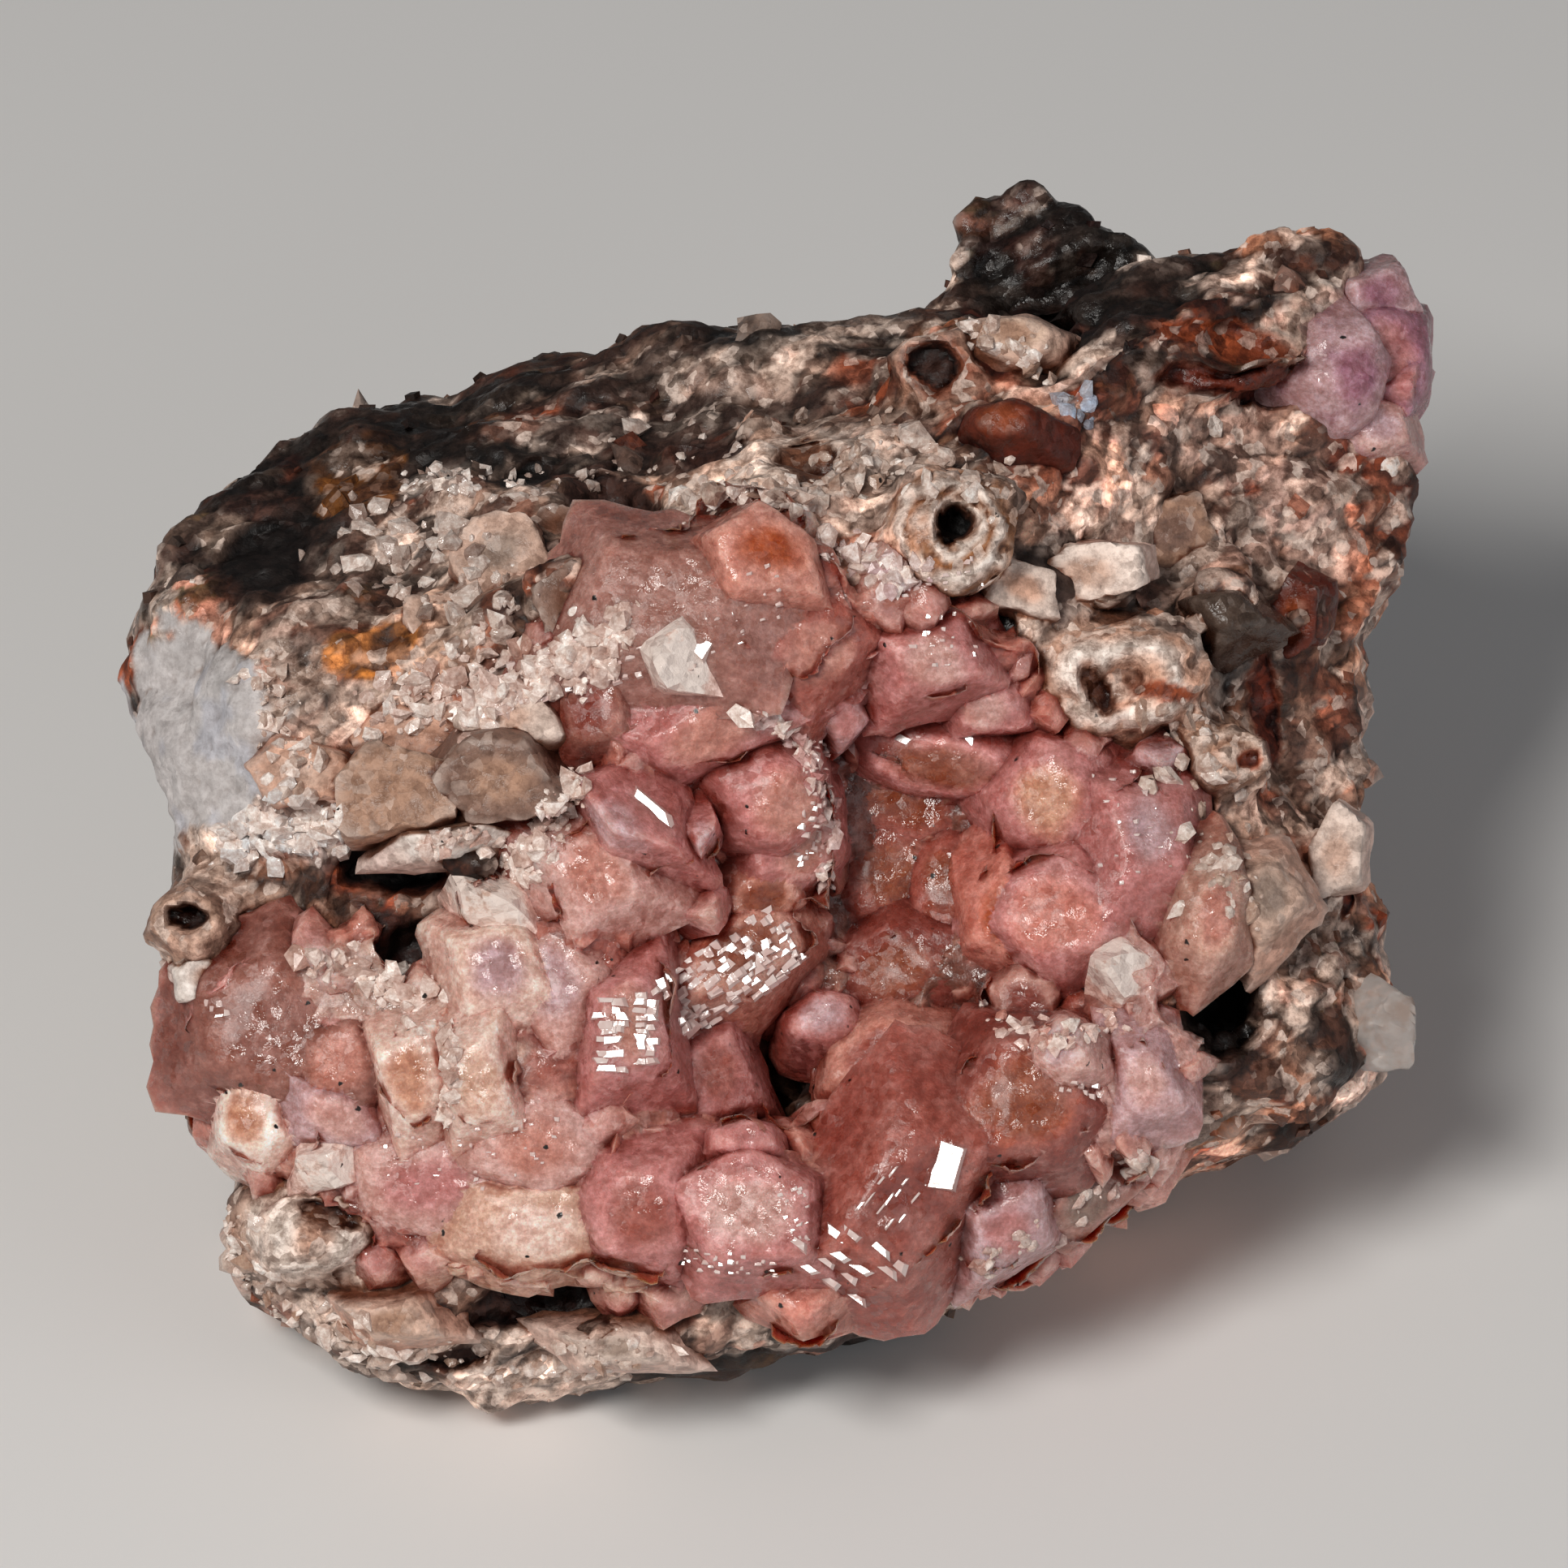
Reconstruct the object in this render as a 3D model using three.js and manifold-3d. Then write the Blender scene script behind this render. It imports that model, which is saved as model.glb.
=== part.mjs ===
// Cobaltoan calcite specimen: a hand-sized lump of host rock with a hollow full of pink crystals.
// Millimetres and degrees. The lump is shaped in its face frame, as seen square on to the crystal
// face: X runs across the face, Y up it and Z out of it. One group then leans it back to stand.
import * as THREE from "three";
import { ConvexGeometry } from "three/addons/geometries/ConvexGeometry.js";
import { mergeVertices } from "three/addons/utils/BufferGeometryUtils.js";
import Module from "manifold-3d";

const wasm = await Module();
wasm.setup();

// Driving dimensions
const FACE_TILT = 40; // the crystal face looks this far above the horizon
const FLOOR_DROP = 23.6; // from the middle of the face down to the flat resting face
const FOOT_CENTRE = { x: 1, y: 5.5 }; // middle of the resting face, level with the middle of the face
const FACE_CENTRE = { across: -0.2, up: -1.6 }; // pole that the lump is swept around
const FACE_OUT = 7.5; // the front pole stands this far out of the face frame's origin
const BACK_IN = -29; // the back pole lies this far behind it
const FRONT_FULLNESS = 2.7; // 2 is an ellipse, more is boxier
const BACK_FULLNESS = 2.9;
const SURFACE_STEPS = 10; // subdivisions of the sphere that the rock is made from
const FRONT_SHARE = 1.32; // above 1 crowds the mesh onto the front
const PIECE_GAP = 0.32; // clearance between neighbouring pieces
const CRUST_THICKNESS = 1.5; // of the sheet that the hollow's crystals grow from
const CRYSTAL_ROOT = 1.1; // how far a crystal reaches into what it grows from
const UNEVENNESS = 0.3; // spread of a crystal's or pit's corners, as a share of its size
const PIT = { mouth: 5, flare: 1.3, end: 0.4, corners: 5 }; // mouth: cut open this far above the rock
const SURFACE_PULL = 0.7; // how far a crystal leans over with the surface under it

// The outline of the lump seen square on to the face, clockwise from its left tip, without the
// spur behind it: [across, up, how far out the rim lies there].
const OUTLINE = [
  [-30.0, 4.6, -4], [-29.6, 8.6, -5], [-27.9, 11.2, -6], [-25.3, 14.0, -7], [-21.6, 16.5, -8],
  [-17.2, 17.8, -9], [-14.2, 18.7, -10], [-9.8, 20.1, -10], [-4.2, 21.2, -10], [-1.4, 21.2, -10],
  [2.0, 20.9, -10], [6.0, 21.8, -10], [9.5, 21.6, -11], [12.2, 21.0, -11], [15.0, 22.4, -11],
  [18.2, 24.2, -11], [20.8, 25.0, -10], [24.2, 25.6, -10], [25.8, 24.3, -10], [27.2, 22.6, -10],
  [27.6, 19.0, -10], [28.2, 15.6, -9], [28.8, 13.0, -9], [28.0, 9.2, -9], [26.4, 6.0, -8],
  [26.2, 0.5, -7], [26.8, -4.2, -7], [27.3, -9.0, -7], [27.4, -13.7, -7], [25.6, -15.2, -7],
  [21.3, -16.4, -6], [18.6, -17.4, -5], [14.6, -19.2, -4], [10.4, -21.6, -3], [6.8, -23.8, -2],
  [1.4, -25.6, -1], [-4.0, -26.6, -1], [-9.8, -27.0, -1], [-12.7, -27.6, -1], [-16.6, -27.0, 0],
  [-20.4, -26.2, 0], [-22.3, -24.2, 1], [-25.1, -21.6, 1], [-24.2, -18.8, 1], [-25.8, -14.6, 0],
  [-27.2, -10.2, 0], [-28.6, -6.4, -1], [-27.2, -3.4, -2], [-27.9, 0.2, -3], [-29.4, 2.8, -4],
];

// Broken faces: what stands beyond the plane sinks back to it, so the outline stays. facing is the
// plane's outward direction in the face frame, and reach its distance from the origin.
const BREAKS = [
  { facing: [-0.19, 0.818, 0.543], reach: 12 }, // top, sloping down to the left
  { facing: [-0.8, 0.18, 0.58], reach: 22.6 }, // pale left flank
  { facing: [0.566, 0.22, 0.795], reach: 11.8 }, // right flank, falling away from the face
  { facing: [0.12, -0.82, 0.56], reach: 23.6 }, // lower front edge
  { facing: [0.15, 0.47, -0.87], reach: 25.5 }, // back
  { facing: [0.6, 0.4, -0.7], reach: 32 }, // back right
  { facing: [-0.7, 0.34, -0.56], reach: 27.5 }, // back left
];
const BREAK_SHARPNESS = 0.9; // 1 is quite flat
const LUMP_MIDDLE = -11; // depth of the point that the surface is roughened away from
const RIM_CALM = { from: 0.86, share: 0.8 }; // roughness dies away towards the outline

const FRONT_DEPTH = -16; // only what lies in front of this is hollowed

// Broad hollows pressed into the front: centre, half width, half height and depth.
const HOLLOW_SLOPE = { floor: 0.45, brim: 1.1 }; // shares of the half width where its sides start
const HOLLOWS = [
  { across: 4.2, up: -4.6, halfWidth: 12.5, halfHeight: 13.5, depth: 4.8 }, // the crystal pocket
  { across: 3.4, up: -2.6, halfWidth: 5.4, halfHeight: 6.8, depth: 2.4 }, // its deep middle
  { across: -1.2, up: -13.0, halfWidth: 4.4, halfHeight: 4.4, depth: 2.4 }, // round the black hole
  { across: -16.6, up: -5.6, halfWidth: 4.2, halfHeight: 3.6, depth: 1.8 }, // recess on the left
  { across: 20.0, up: 17.6, halfWidth: 4.4, halfHeight: 1.8, depth: 2.4 }, // red crevice
  { across: -22.8, up: 10.4, halfWidth: 3.4, halfHeight: 2.6, depth: 1.4 }, // dip near the left tip
];

// Pits and holes sunk into the surface: [name, across, up, width, height, turn, depth].
const PITS = [
  ["black_hole", -0.2, -13.6, 3.0, 5.2, 6, 5.5],
  ["hole_under_plates", -17.4, -3.9, 5.0, 2.4, 0, 2.6],
  ["dark_recess", -16.4, -7.2, 3.2, 4.0, 0, 1.8],
  ["flank_hole", 19.4, -9.8, 3.0, 3.8, 0, 2.8],
  ["spur_gap", 11.9, 20.8, 2.6, 3.0, 0, 3.2],
  ["leaf_hollow", -7.8, 12.8, 4.8, 2.8, -12, 1.8],
  ["rimmed_pit", 1.3, 14.4, 3.4, 2.2, 0, 1.7],
  ["lower_slot", -10.2, -22.6, 5.6, 1.9, 4, 2.2],
  ["left_slot", -14.6, -25.6, 3.6, 1.4, 0, 1.5],
  ["rust_slit", 25.2, -4.6, 1.2, 3.6, -8, 1.5],
];

// Natural roughness of the rock: size of the lumps and how far they stand out.
const ROUGHNESS = [
  { size: 11, height: 3.2 },
  { size: 4.8, height: 1.8 },
];
const BLOCK_SIZE = 5.2; // broken blocks that the rock's surface is made of
const BLOCK_STEP = 1.9; // how far one block stands above the next

// Crystals that stand in the hollow, grown into one crust:
// [name, across, up, width, height, turn, tall, lean, leanTo, form].
// width and height are its size seen square on, turn rolls it, and it leans by lean towards leanTo.
const POCKET_CRYSTALS = [
  ["hood_block", -4.8, 8.2, 7.6, 6.0, -22, 2.3, 10, 120, "block"],
  ["orange_core", -1.3, 10.2, 6.0, 4.0, 0, 1.9, 18, 90, "barrel"],
  ["white_chip", -4.1, 6.4, 2.6, 3.2, 10, 3.1, 0, 0, "block"],
  ["hood_shoulder", 0.2, 7.4, 5.8, 5.4, 30, 1.9, 8, 60, "block"],
  ["rose_block", 6.4, 6.1, 5.2, 4.2, 8, 2.5, 10, 80, "block"],
  ["hood_lip", -3.7, 3.7, 7.4, 4.6, 24, 2.1, 14, 280, "barrel"],
  ["left_lip", -8.0, 3.1, 3.6, 3.8, 0, 1.3, 10, 180, "block"],
  ["salmon_shelf", 8.2, 2.5, 8.2, 3.8, -12, 1.3, 6, 270, "barrel"],
  ["shelf_left", 4.5, 2.8, 3.4, 3.2, 20, 1.7, 0, 0, "block"],
  ["thumb", -1.1, -0.6, 5.2, 8.2, 12, 3.9, 12, 300, "barrel"],
  ["left_wing", -6.4, -1.3, 5.6, 3.4, -32, 2.7, 22, 200, "block"],
  ["wing_ball", -4.3, -1.8, 2.4, 2.3, 0, 2.9, 0, 0, "block"],
  ["wing_root", -8.2, -3.9, 4.4, 5.0, 14, 1.7, 8, 160, "block"],
  ["small_pale", -4.4, -5.3, 2.5, 2.3, 30, 2.7, 8, 240, "block"],
  ["thumb_foot", -2.1, -4.3, 4.8, 3.6, 0, 2.3, 10, 270, "barrel"],
  ["parquet_ridge", -2.3, -8.0, 6.8, 4.0, 30, 2.7, 10, 90, "barrel"],
  ["striated_block", -7.0, -11.1, 4.4, 7.0, 0, 3.1, 8, 100, "block"],
  ["left_wall", -9.8, -8.4, 4.2, 5.2, 20, 1.7, 10, 150, "block"],
  ["inner_wall", -3.3, -13.2, 4.4, 4.8, 0, 1.2, 6, 0, "block"],
  ["rose_ball", 1.8, -11.2, 3.6, 3.0, 10, 3.1, 6, 90, "barrel"],
  ["inner_salmon", 4.4, -13.0, 5.8, 4.4, 0, 1.9, 6, 200, "barrel"],
  ["deep_crystal", 10.9, -14.2, 7.8, 6.6, 20, 3.1, 10, 320, "barrel"],
  ["glassy_ball", 13.1, -12.6, 3.3, 3.1, 0, 4.5, 0, 0, "barrel"],
  ["long_crystal", 4.4, -18.0, 10.6, 6.4, 50, 3.7, 10, 300, "barrel"],
  ["pale_plate", -1.7, -19.6, 7.2, 5.8, -14, 2.3, 12, 90, "plate"],
  ["plate_top", -2.2, -16.6, 3.6, 2.4, 0, 2.3, 0, 0, "barrel"],
  ["left_rose", -6.1, -18.9, 5.2, 5.2, 20, 2.1, 6, 240, "barrel"],
  ["coral_crystal", 12.5, -6.2, 6.8, 5.8, -10, 2.9, 8, 0, "barrel"],
  ["coral_root", 9.8, -5.9, 4.0, 5.4, 0, 1.9, 6, 180, "barrel"],
  ["orange_heart", 12.2, -0.9, 5.6, 5.5, 15, 2.5, 6, 20, "barrel"],
  ["brown_core", 10.8, -8.9, 3.6, 2.8, 0, 2.1, 0, 0, "barrel"],
  ["inner_mass", 4.9, -4.7, 6.2, 6.8, 30, 1.3, 6, 90, "block"],
  ["inner_top", 5.2, -0.9, 6.0, 4.6, 0, 1.2, 10, 90, "block"],
  ["inner_low", 5.4, -8.6, 6.0, 4.4, 12, 1.5, 8, 270, "block"],
  ["white_facet", 15.7, -8.2, 2.7, 2.7, 15, 1.9, 0, 0, "block"],
  ["side_oval", 18.8, -6.0, 3.0, 5.4, -6, 1.5, 0, 0, "barrel"],
  ["small_lilac", 16.6, 1.1, 2.4, 2.0, 0, 1.5, 0, 0, "block"],
  ["lilac_foot", 9.0, -19.2, 4.2, 4.4, 0, 1.9, 8, 300, "block"],
  ["rim_right", 15.8, -2.6, 4.2, 5.0, 0, 1.2, 0, 0, "block"],
  ["right_rose", 15.8, -13.2, 3.0, 4.2, 0, 1.5, 0, 0, "block"],
  ["tip_low", 0.9, -23.0, 3.4, 2.8, 0, 1.7, 10, 270, "block"],
  ["lower_rim", 12.9, -18.2, 4.4, 3.4, 30, 1.3, 6, 300, "block"],
  ["pink_mass", -23.0, -10.8, 6.8, 6.8, 0, 1.3, 0, 0, "barrel"],
  ["pink_mass_low", -19.4, -12.4, 4.6, 4.4, 0, 1.2, 0, 0, "barrel"],
  ["lilac_blade", -20.1, -14.3, 4.6, 3.0, -22, 2.1, 10, 300, "block"],
  ["white_nodule", -23.0, -15.0, 3.2, 4.2, 10, 1.9, 6, 180, "barrel"],
  ["cream_left", -16.1, -12.8, 3.4, 5.2, 4, 2.5, 6, 270, "block"],
  ["cream_right", -13.2, -12.6, 3.4, 5.2, -4, 2.9, 6, 270, "block"],
  ["lilac_block", -12.5, -8.5, 4.6, 4.6, 0, 2.1, 6, 90, "block"],
  ["bright_facet", -12.4, -5.6, 3.4, 2.6, -30, 2.3, 16, 120, "block"],
  ["low_sheet", -15.2, -17.6, 7.4, 4.8, 8, 1.2, 4, 270, "plate"],
  ["low_peach", -11.2, -20.0, 6.2, 5.0, 0, 1.2, 4, 270, "plate"],
  ["white_chip_left", -20.1, -17.0, 2.8, 2.1, 20, 1.7, 0, 0, "block"],
];

// The sheet that they grow from: overlapping ovals, [across, up, half width, half height]. It thins
// out between the shares full and gone of each oval, and its edge wanders by ragged.
const CRUST_OVALS = [
  [3.5, -2.5, 14, 13], [4.5, -12, 14.5, 11], [-5, 6, 6.5, 6.5], [-8, -14, 9, 9.5], [-19.5, -12.5, 7.8, 7.2],
  [-13.5, -17.5, 9, 5.4],
];
const CRUST_EDGE = { full: 0.85, gone: 1.06, ragged: 0.08, raggedSize: 3, depth: -9, under: 3 };

// Blocks, plates and ring-shaped nodules of pale calcite that are one with the rock, as above.
const ROCK_CRYSTALS = [
  ["ring_nodule", 7.3, 11.4, 6.4, 6.8, 0, 2.6, 0, 0, "ring"],
  ["pitted_nodule", 14.9, 4.4, 8.4, 6.0, 20, 2.8, 0, 0, "ring"],
  ["rim_nodule", 20.0, 1.0, 4.8, 4.0, 0, 2.2, 0, 0, "ring"],
  ["rust_dome", 9.8, 16.1, 4.6, 3.4, -10, 2.6, 0, 0, "barrel"],
  ["top_nodule", 6.6, 18.6, 5.2, 4.4, 0, 2.0, 0, 0, "ring"],
  ["top_lump", 10.2, 19.8, 3.8, 3.0, 0, 2.0, 0, 0, "barrel"],
  ["left_tip_nodule", -26.2, -6.2, 4.8, 4.2, 10, 2.4, 0, 0, "ring"],
  ["left_chip", -25.6, -8.4, 3.6, 2.2, -10, 2.0, 0, 0, "block"],
  ["tan_plate", -17.0, -0.9, 5.4, 3.8, -8, 2.6, 8, 270, "plate"],
  ["grey_plate", -12.9, 0.3, 4.8, 3.4, 8, 2.6, 8, 270, "plate"],
  ["left_plate", -21.0, 0.2, 4.8, 2.8, -4, 2.2, 6, 270, "plate"],
  ["edge_plate", -14.5, -2.4, 5.0, 2.2, 0, 3.0, 10, 270, "plate"],
  ["peach_block", -12.4, 2.8, 4.8, 3.0, 4, 2.4, 0, 0, "block"],
  ["grey_block", -12.6, 10.2, 4.6, 3.8, 12, 2.2, 0, 0, "block"],
  ["smoky_block", -9.6, 8.2, 4.2, 3.2, -14, 2.2, 0, 0, "block"],
  ["white_slab", 14.2, 9.2, 4.2, 2.2, 4, 2.4, 0, 0, "block"],
  ["dark_glass", 19.6, 7.6, 3.8, 3.4, 0, 2.2, 0, 0, "barrel"],
  ["red_block", 23.0, 7.7, 3.0, 4.0, -6, 2.2, 0, 0, "block"],
  ["white_lump", 21.0, -4.8, 3.4, 4.6, 0, 2.2, 0, 0, "block"],
  ["right_facet", 24.9, -3.4, 2.8, 4.2, 0, 2.0, 0, 0, "block"],
  ["fold_lip", 20.6, 19.0, 8.0, 2.6, 8, 2.6, 14, 270, "barrel"],
  ["slot_nodule", -20.8, -20.0, 5.6, 3.8, -4, 2.4, 0, 0, "ring"],
  ["low_lump", -7.5, -24.8, 4.2, 2.4, 0, 2.0, 0, 0, "block"],
  ["low_chip", -17.8, -23.6, 4.4, 2.4, 6, 2.2, 0, 0, "block"],
];
const NODULE_PIT = { share: 0.42, aside: 0.05, depth: 1.5 }; // shares are of its nodule's width

// The spur that stands up behind the top edge: corners of its outer form, in the face frame.
const SPUR_CORNERS = [
  [8.9, 27.2, -13], [10.9, 27.6, -13], [8.3, 26.2, -12.5], [12.4, 26.4, -12.5], [7.4, 23.4, -11.5],
  [15.4, 24.9, -12], [17.6, 23.6, -12], [9.4, 26.8, -16], [12.4, 25.8, -16.5], [6.6, 20.0, -13],
  [7.0, 16.0, -19], [17.8, 17.0, -19], [17.4, 16.5, -11.5], [7.2, 16.0, -11.5], [17.0, 22.6, -16],
];

// Rhombs of deeper pink at the top right corner, and one clear rhomb on the right edge.
const CORNER_CRYSTALS = [
  ["corner_large", 28.0, 19.6, 5.0, 5.2, 0, 2.4, 0, 0, "block"],
  ["corner_top", 27.0, 22.2, 4.4, 3.6, 12, 2.4, 0, 0, "block"],
  ["corner_low", 26.8, 17.4, 4.4, 4.0, 20, 2.0, 0, 0, "block"],
  ["corner_inner", 25.6, 20.4, 4.2, 4.4, -12, 2.4, 0, 0, "block"],
];
const EDGE_CRYSTAL = ["edge_crystal", 26.7, -10.8, 2.6, 3.8, 16, 2.6, 0, 0, "block"];

const UNDER_FLOOR = { wide: 160, deep: 60 }; // block that cuts the resting face

const { degToRad: degrees, smoothstep, euclideanModulo, clamp } = THREE.MathUtils;

// A repeatable number from 0 to 1 for three whole numbers.
function scatter(x, y, z) {
  let h = Math.imul(x, 374761393) + Math.imul(y, 668265263) + Math.imul(z, 1274126177);
  h = Math.imul(h ^ (h >>> 13), 1103515245);
  return ((h ^ (h >>> 16)) >>> 0) / 4294967295;
}

// Smooth noise from -1 to 1 over points one unit apart.
function noise(x, y, z) {
  const [i, j, k] = [Math.floor(x), Math.floor(y), Math.floor(z)];
  const ease = (t) => t * t * (3 - 2 * t);
  const [a, b, c] = [ease(x - i), ease(y - j), ease(z - k)];
  let sum = 0;
  for (let corner = 0; corner < 8; corner++) {
    const [di, dj, dk] = [corner & 1, (corner >> 1) & 1, corner >> 2];
    const weight = (di ? a : 1 - a) * (dj ? b : 1 - b) * (dk ? c : 1 - c);
    sum += weight * scatter(i + di, j + dj, k + dk);
  }
  return 2 * sum - 1;
}

// The step of the broken block that a point lies on, from -1 to 1.
function blockStep(p) {
  const q = p.clone().divideScalar(BLOCK_SIZE);
  let nearest = Infinity;
  let step = 0;
  for (let n = 0; n < 27; n++) {
    const cell = [
      Math.floor(q.x) + (n % 3) - 1,
      Math.floor(q.y) + (Math.floor(n / 3) % 3) - 1,
      Math.floor(q.z) + Math.floor(n / 9) - 1,
    ];
    const seed = cell.map((c, axis) => c + scatter(cell[0] + 31 * axis, cell[1], cell[2]));
    const far = (q.x - seed[0]) ** 2 + (q.y - seed[1]) ** 2 + (q.z - seed[2]) ** 2;
    if (far < nearest) {
      nearest = far;
      step = 2 * scatter(cell[0], cell[1] + 57, cell[2]) - 1;
    }
  }
  return step;
}

// The outline as polar points round the face's centre, sorted by angle.
const rim = OUTLINE.map(([across, up, out]) => {
  const [x, y] = [across - FACE_CENTRE.across, up - FACE_CENTRE.up];
  return { angle: Math.atan2(y, x), radius: Math.hypot(x, y), out };
}).sort((a, b) => a.angle - b.angle);

// Radius and depth of the rim in one direction, read between the outline's points.
function rimAt(angle) {
  let next = rim.findIndex((r) => r.angle > angle);
  if (next < 0) next = 0;
  const a = rim[(next + rim.length - 1) % rim.length];
  const b = rim[next];
  const span = euclideanModulo(b.angle - a.angle, 2 * Math.PI);
  const t = euclideanModulo(angle - a.angle, 2 * Math.PI) / span;
  return { radius: a.radius + t * (b.radius - a.radius), out: a.out + t * (b.out - a.out) };
}

// The point of the lump's plain form that a direction on the unit sphere leads to.
function plainPoint(direction) {
  const lean = Math.acos(clamp(direction.z, -1, 1)) / Math.PI;
  const swing = Math.PI * lean ** FRONT_SHARE;
  const { radius, out } = rimAt(Math.atan2(direction.y, direction.x));
  const front = swing < Math.PI / 2;
  const power = 2 / (front ? FRONT_FULLNESS : BACK_FULLNESS);
  const rise = Math.abs(Math.cos(swing)) ** power * ((front ? FACE_OUT : BACK_IN) - out);
  const reach = radius * Math.sin(swing) ** power;
  const along = new THREE.Vector2(direction.x, direction.y).normalize().multiplyScalar(reach);
  return new THREE.Vector3(FACE_CENTRE.across + along.x, FACE_CENTRE.up + along.y, out + rise);
}

// How far the hollows press the front in at one place on the face.
function hollowDepth(across, up) {
  return HOLLOWS.reduce((sum, h) => {
    const far = Math.hypot((across - h.across) / h.halfWidth, (up - h.up) / h.halfHeight);
    return sum + h.depth * (1 - smoothstep(far, HOLLOW_SLOPE.floor, HOLLOW_SLOPE.brim));
  }, 0);
}

// The lump's surface in one direction: its plain form, broken, roughened and hollowed.
function rockPoint(direction) {
  const p = plainPoint(direction);
  const { radius } = rimAt(Math.atan2(direction.y, direction.x));
  const toRim = Math.hypot(p.y - FACE_CENTRE.up, p.x - FACE_CENTRE.across) / radius;
  const calm = RIM_CALM.share * smoothstep(toRim, RIM_CALM.from, 1);
  const outward = new THREE.Vector3(p.x, p.y, p.z - LUMP_MIDDLE).normalize();
  for (const { facing, reach } of BREAKS) {
    const n = new THREE.Vector3(...facing).normalize();
    const beyond = p.dot(n) - reach;
    if (beyond > 0) p.z -= (BREAK_SHARPNESS * beyond) / n.z;
  }
  const rough = ROUGHNESS.reduce(
    (sum, { size, height }) => sum + (height / 2) * noise(p.x / size, p.y / size, p.z / size),
    (BLOCK_STEP / 2) * blockStep(p),
  );
  p.addScaledVector(outward, (1 - calm) * rough);
  if (p.z > FRONT_DEPTH) p.z -= hollowDepth(p.x, p.y);
  return p;
}

// three.js geometry to a closed solid, and back.
function solidOf(geometry) {
  const bare = geometry.clone();
  bare.deleteAttribute("normal");
  bare.deleteAttribute("uv");
  const merged = mergeVertices(bare, 1e-4);
  return new wasm.Manifold(
    new wasm.Mesh({
      numProp: 3,
      vertProperties: merged.attributes.position.array,
      triVerts: new Uint32Array(merged.index.array),
    }),
  );
}

function geometryOf(solid) {
  const { vertProperties, triVerts } = solid.getMesh();
  const geometry = new THREE.BufferGeometry();
  geometry.setAttribute("position", new THREE.BufferAttribute(vertProperties, 3));
  geometry.setIndex(new THREE.BufferAttribute(triVerts, 1));
  geometry.computeVertexNormals();
  return geometry;
}

const joined = (solids) => solids.reduce((a, b) => a.add(b));

// The whole lump, before anything grows on it.
function lumpGeometry() {
  const geometry = new THREE.IcosahedronGeometry(1, SURFACE_STEPS);
  geometry.deleteAttribute("normal");
  geometry.deleteAttribute("uv");
  const sphere = mergeVertices(geometry, 1e-5);
  const place = sphere.attributes.position;
  for (let i = 0; i < place.count; i++) {
    const direction = new THREE.Vector3().fromBufferAttribute(place, i).normalize();
    place.setXYZ(i, ...rockPoint(direction).toArray());
  }
  sphere.computeVertexNormals();
  return sphere;
}

const lump = lumpGeometry();

// The lump with each corner moved out along its normal, by a distance that may depend on the place.
function grownLump(distance) {
  const grown = lump.clone();
  const place = grown.attributes.position;
  for (let i = 0; i < place.count; i++) {
    const p = new THREE.Vector3().fromBufferAttribute(place, i);
    const normal = new THREE.Vector3().fromBufferAttribute(lump.attributes.normal, i);
    place.setXYZ(i, ...p.addScaledVector(normal, distance(p)).toArray());
  }
  return solidOf(grown);
}

const lumpMesh = new THREE.Mesh(lump, new THREE.MeshBasicMaterial());
const caster = new THREE.Raycaster();

// Where the lump's surface lies at a place on the face, and which way it looks there.
function surfaceAt(across, up) {
  caster.set(new THREE.Vector3(across, up, 60), new THREE.Vector3(0, 0, -1));
  const [hit] = caster.intersectObject(lumpMesh);
  if (hit) return { point: hit.point, normal: hit.face.normal.clone() };
  const place = lump.attributes.position;
  let best = 0;
  let nearest = Infinity;
  for (let i = 0; i < place.count; i++) {
    const far = Math.hypot(place.getX(i) - across, place.getY(i) - up);
    if (far < nearest) [nearest, best] = [far, i];
  }
  return {
    point: new THREE.Vector3().fromBufferAttribute(place, best),
    normal: new THREE.Vector3().fromBufferAttribute(lump.attributes.normal, best),
  };
}

// A crystal's rings from root to tip, as [share of its height, share of its width, corners].
const FORMS = {
  block: [[0, 1, 5], [0.55, 0.98, 5], [1, 0.55, 3]],
  barrel: [[0, 0.96, 6], [0.6, 0.98, 6], [1, 0.52, 4]],
  plate: [[0, 0.96, 5], [0.6, 1, 5], [1, 0.84, 5]],
  ring: [[0, 1, 7], [0.5, 1, 7], [1, 0.66, 6]],
};

// Places in the frame of something that grows out of the rock, or sinks into it: at(rise, right,
// ahead) is a point that far along its own axis and across it.
function growth(across, up, turn, lean = 0, leanTo = 0) {
  const { point, normal } = surfaceAt(across, up);
  const axis = normal.clone().multiplyScalar(SURFACE_PULL).add(new THREE.Vector3(0, 0, 1)).normalize();
  axis.x += Math.tan(degrees(lean)) * Math.cos(degrees(leanTo));
  axis.y += Math.tan(degrees(lean)) * Math.sin(degrees(leanTo));
  axis.normalize();
  const side = new THREE.Vector3(Math.cos(degrees(turn)), Math.sin(degrees(turn)), 0);
  side.addScaledVector(axis, -side.dot(axis)).normalize();
  const other = new THREE.Vector3().crossVectors(axis, side);
  return (rise, right, ahead) =>
    point.clone().addScaledVector(axis, rise).addScaledVector(side, right).addScaledVector(other, ahead);
}

// A ring of uneven corners round a growth's axis.
function ring(at, rise, width, height, count, seed) {
  return Array.from({ length: count }, (_, i) => {
    const uneven = 1 + UNEVENNESS * (scatter(seed, count, i) - 0.5);
    const angle = (2 * Math.PI * (i + scatter(seed, 3, 3))) / count;
    const reach = uneven / 2;
    return at(rise * uneven, reach * width * Math.cos(angle), reach * height * Math.sin(angle));
  });
}

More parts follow.
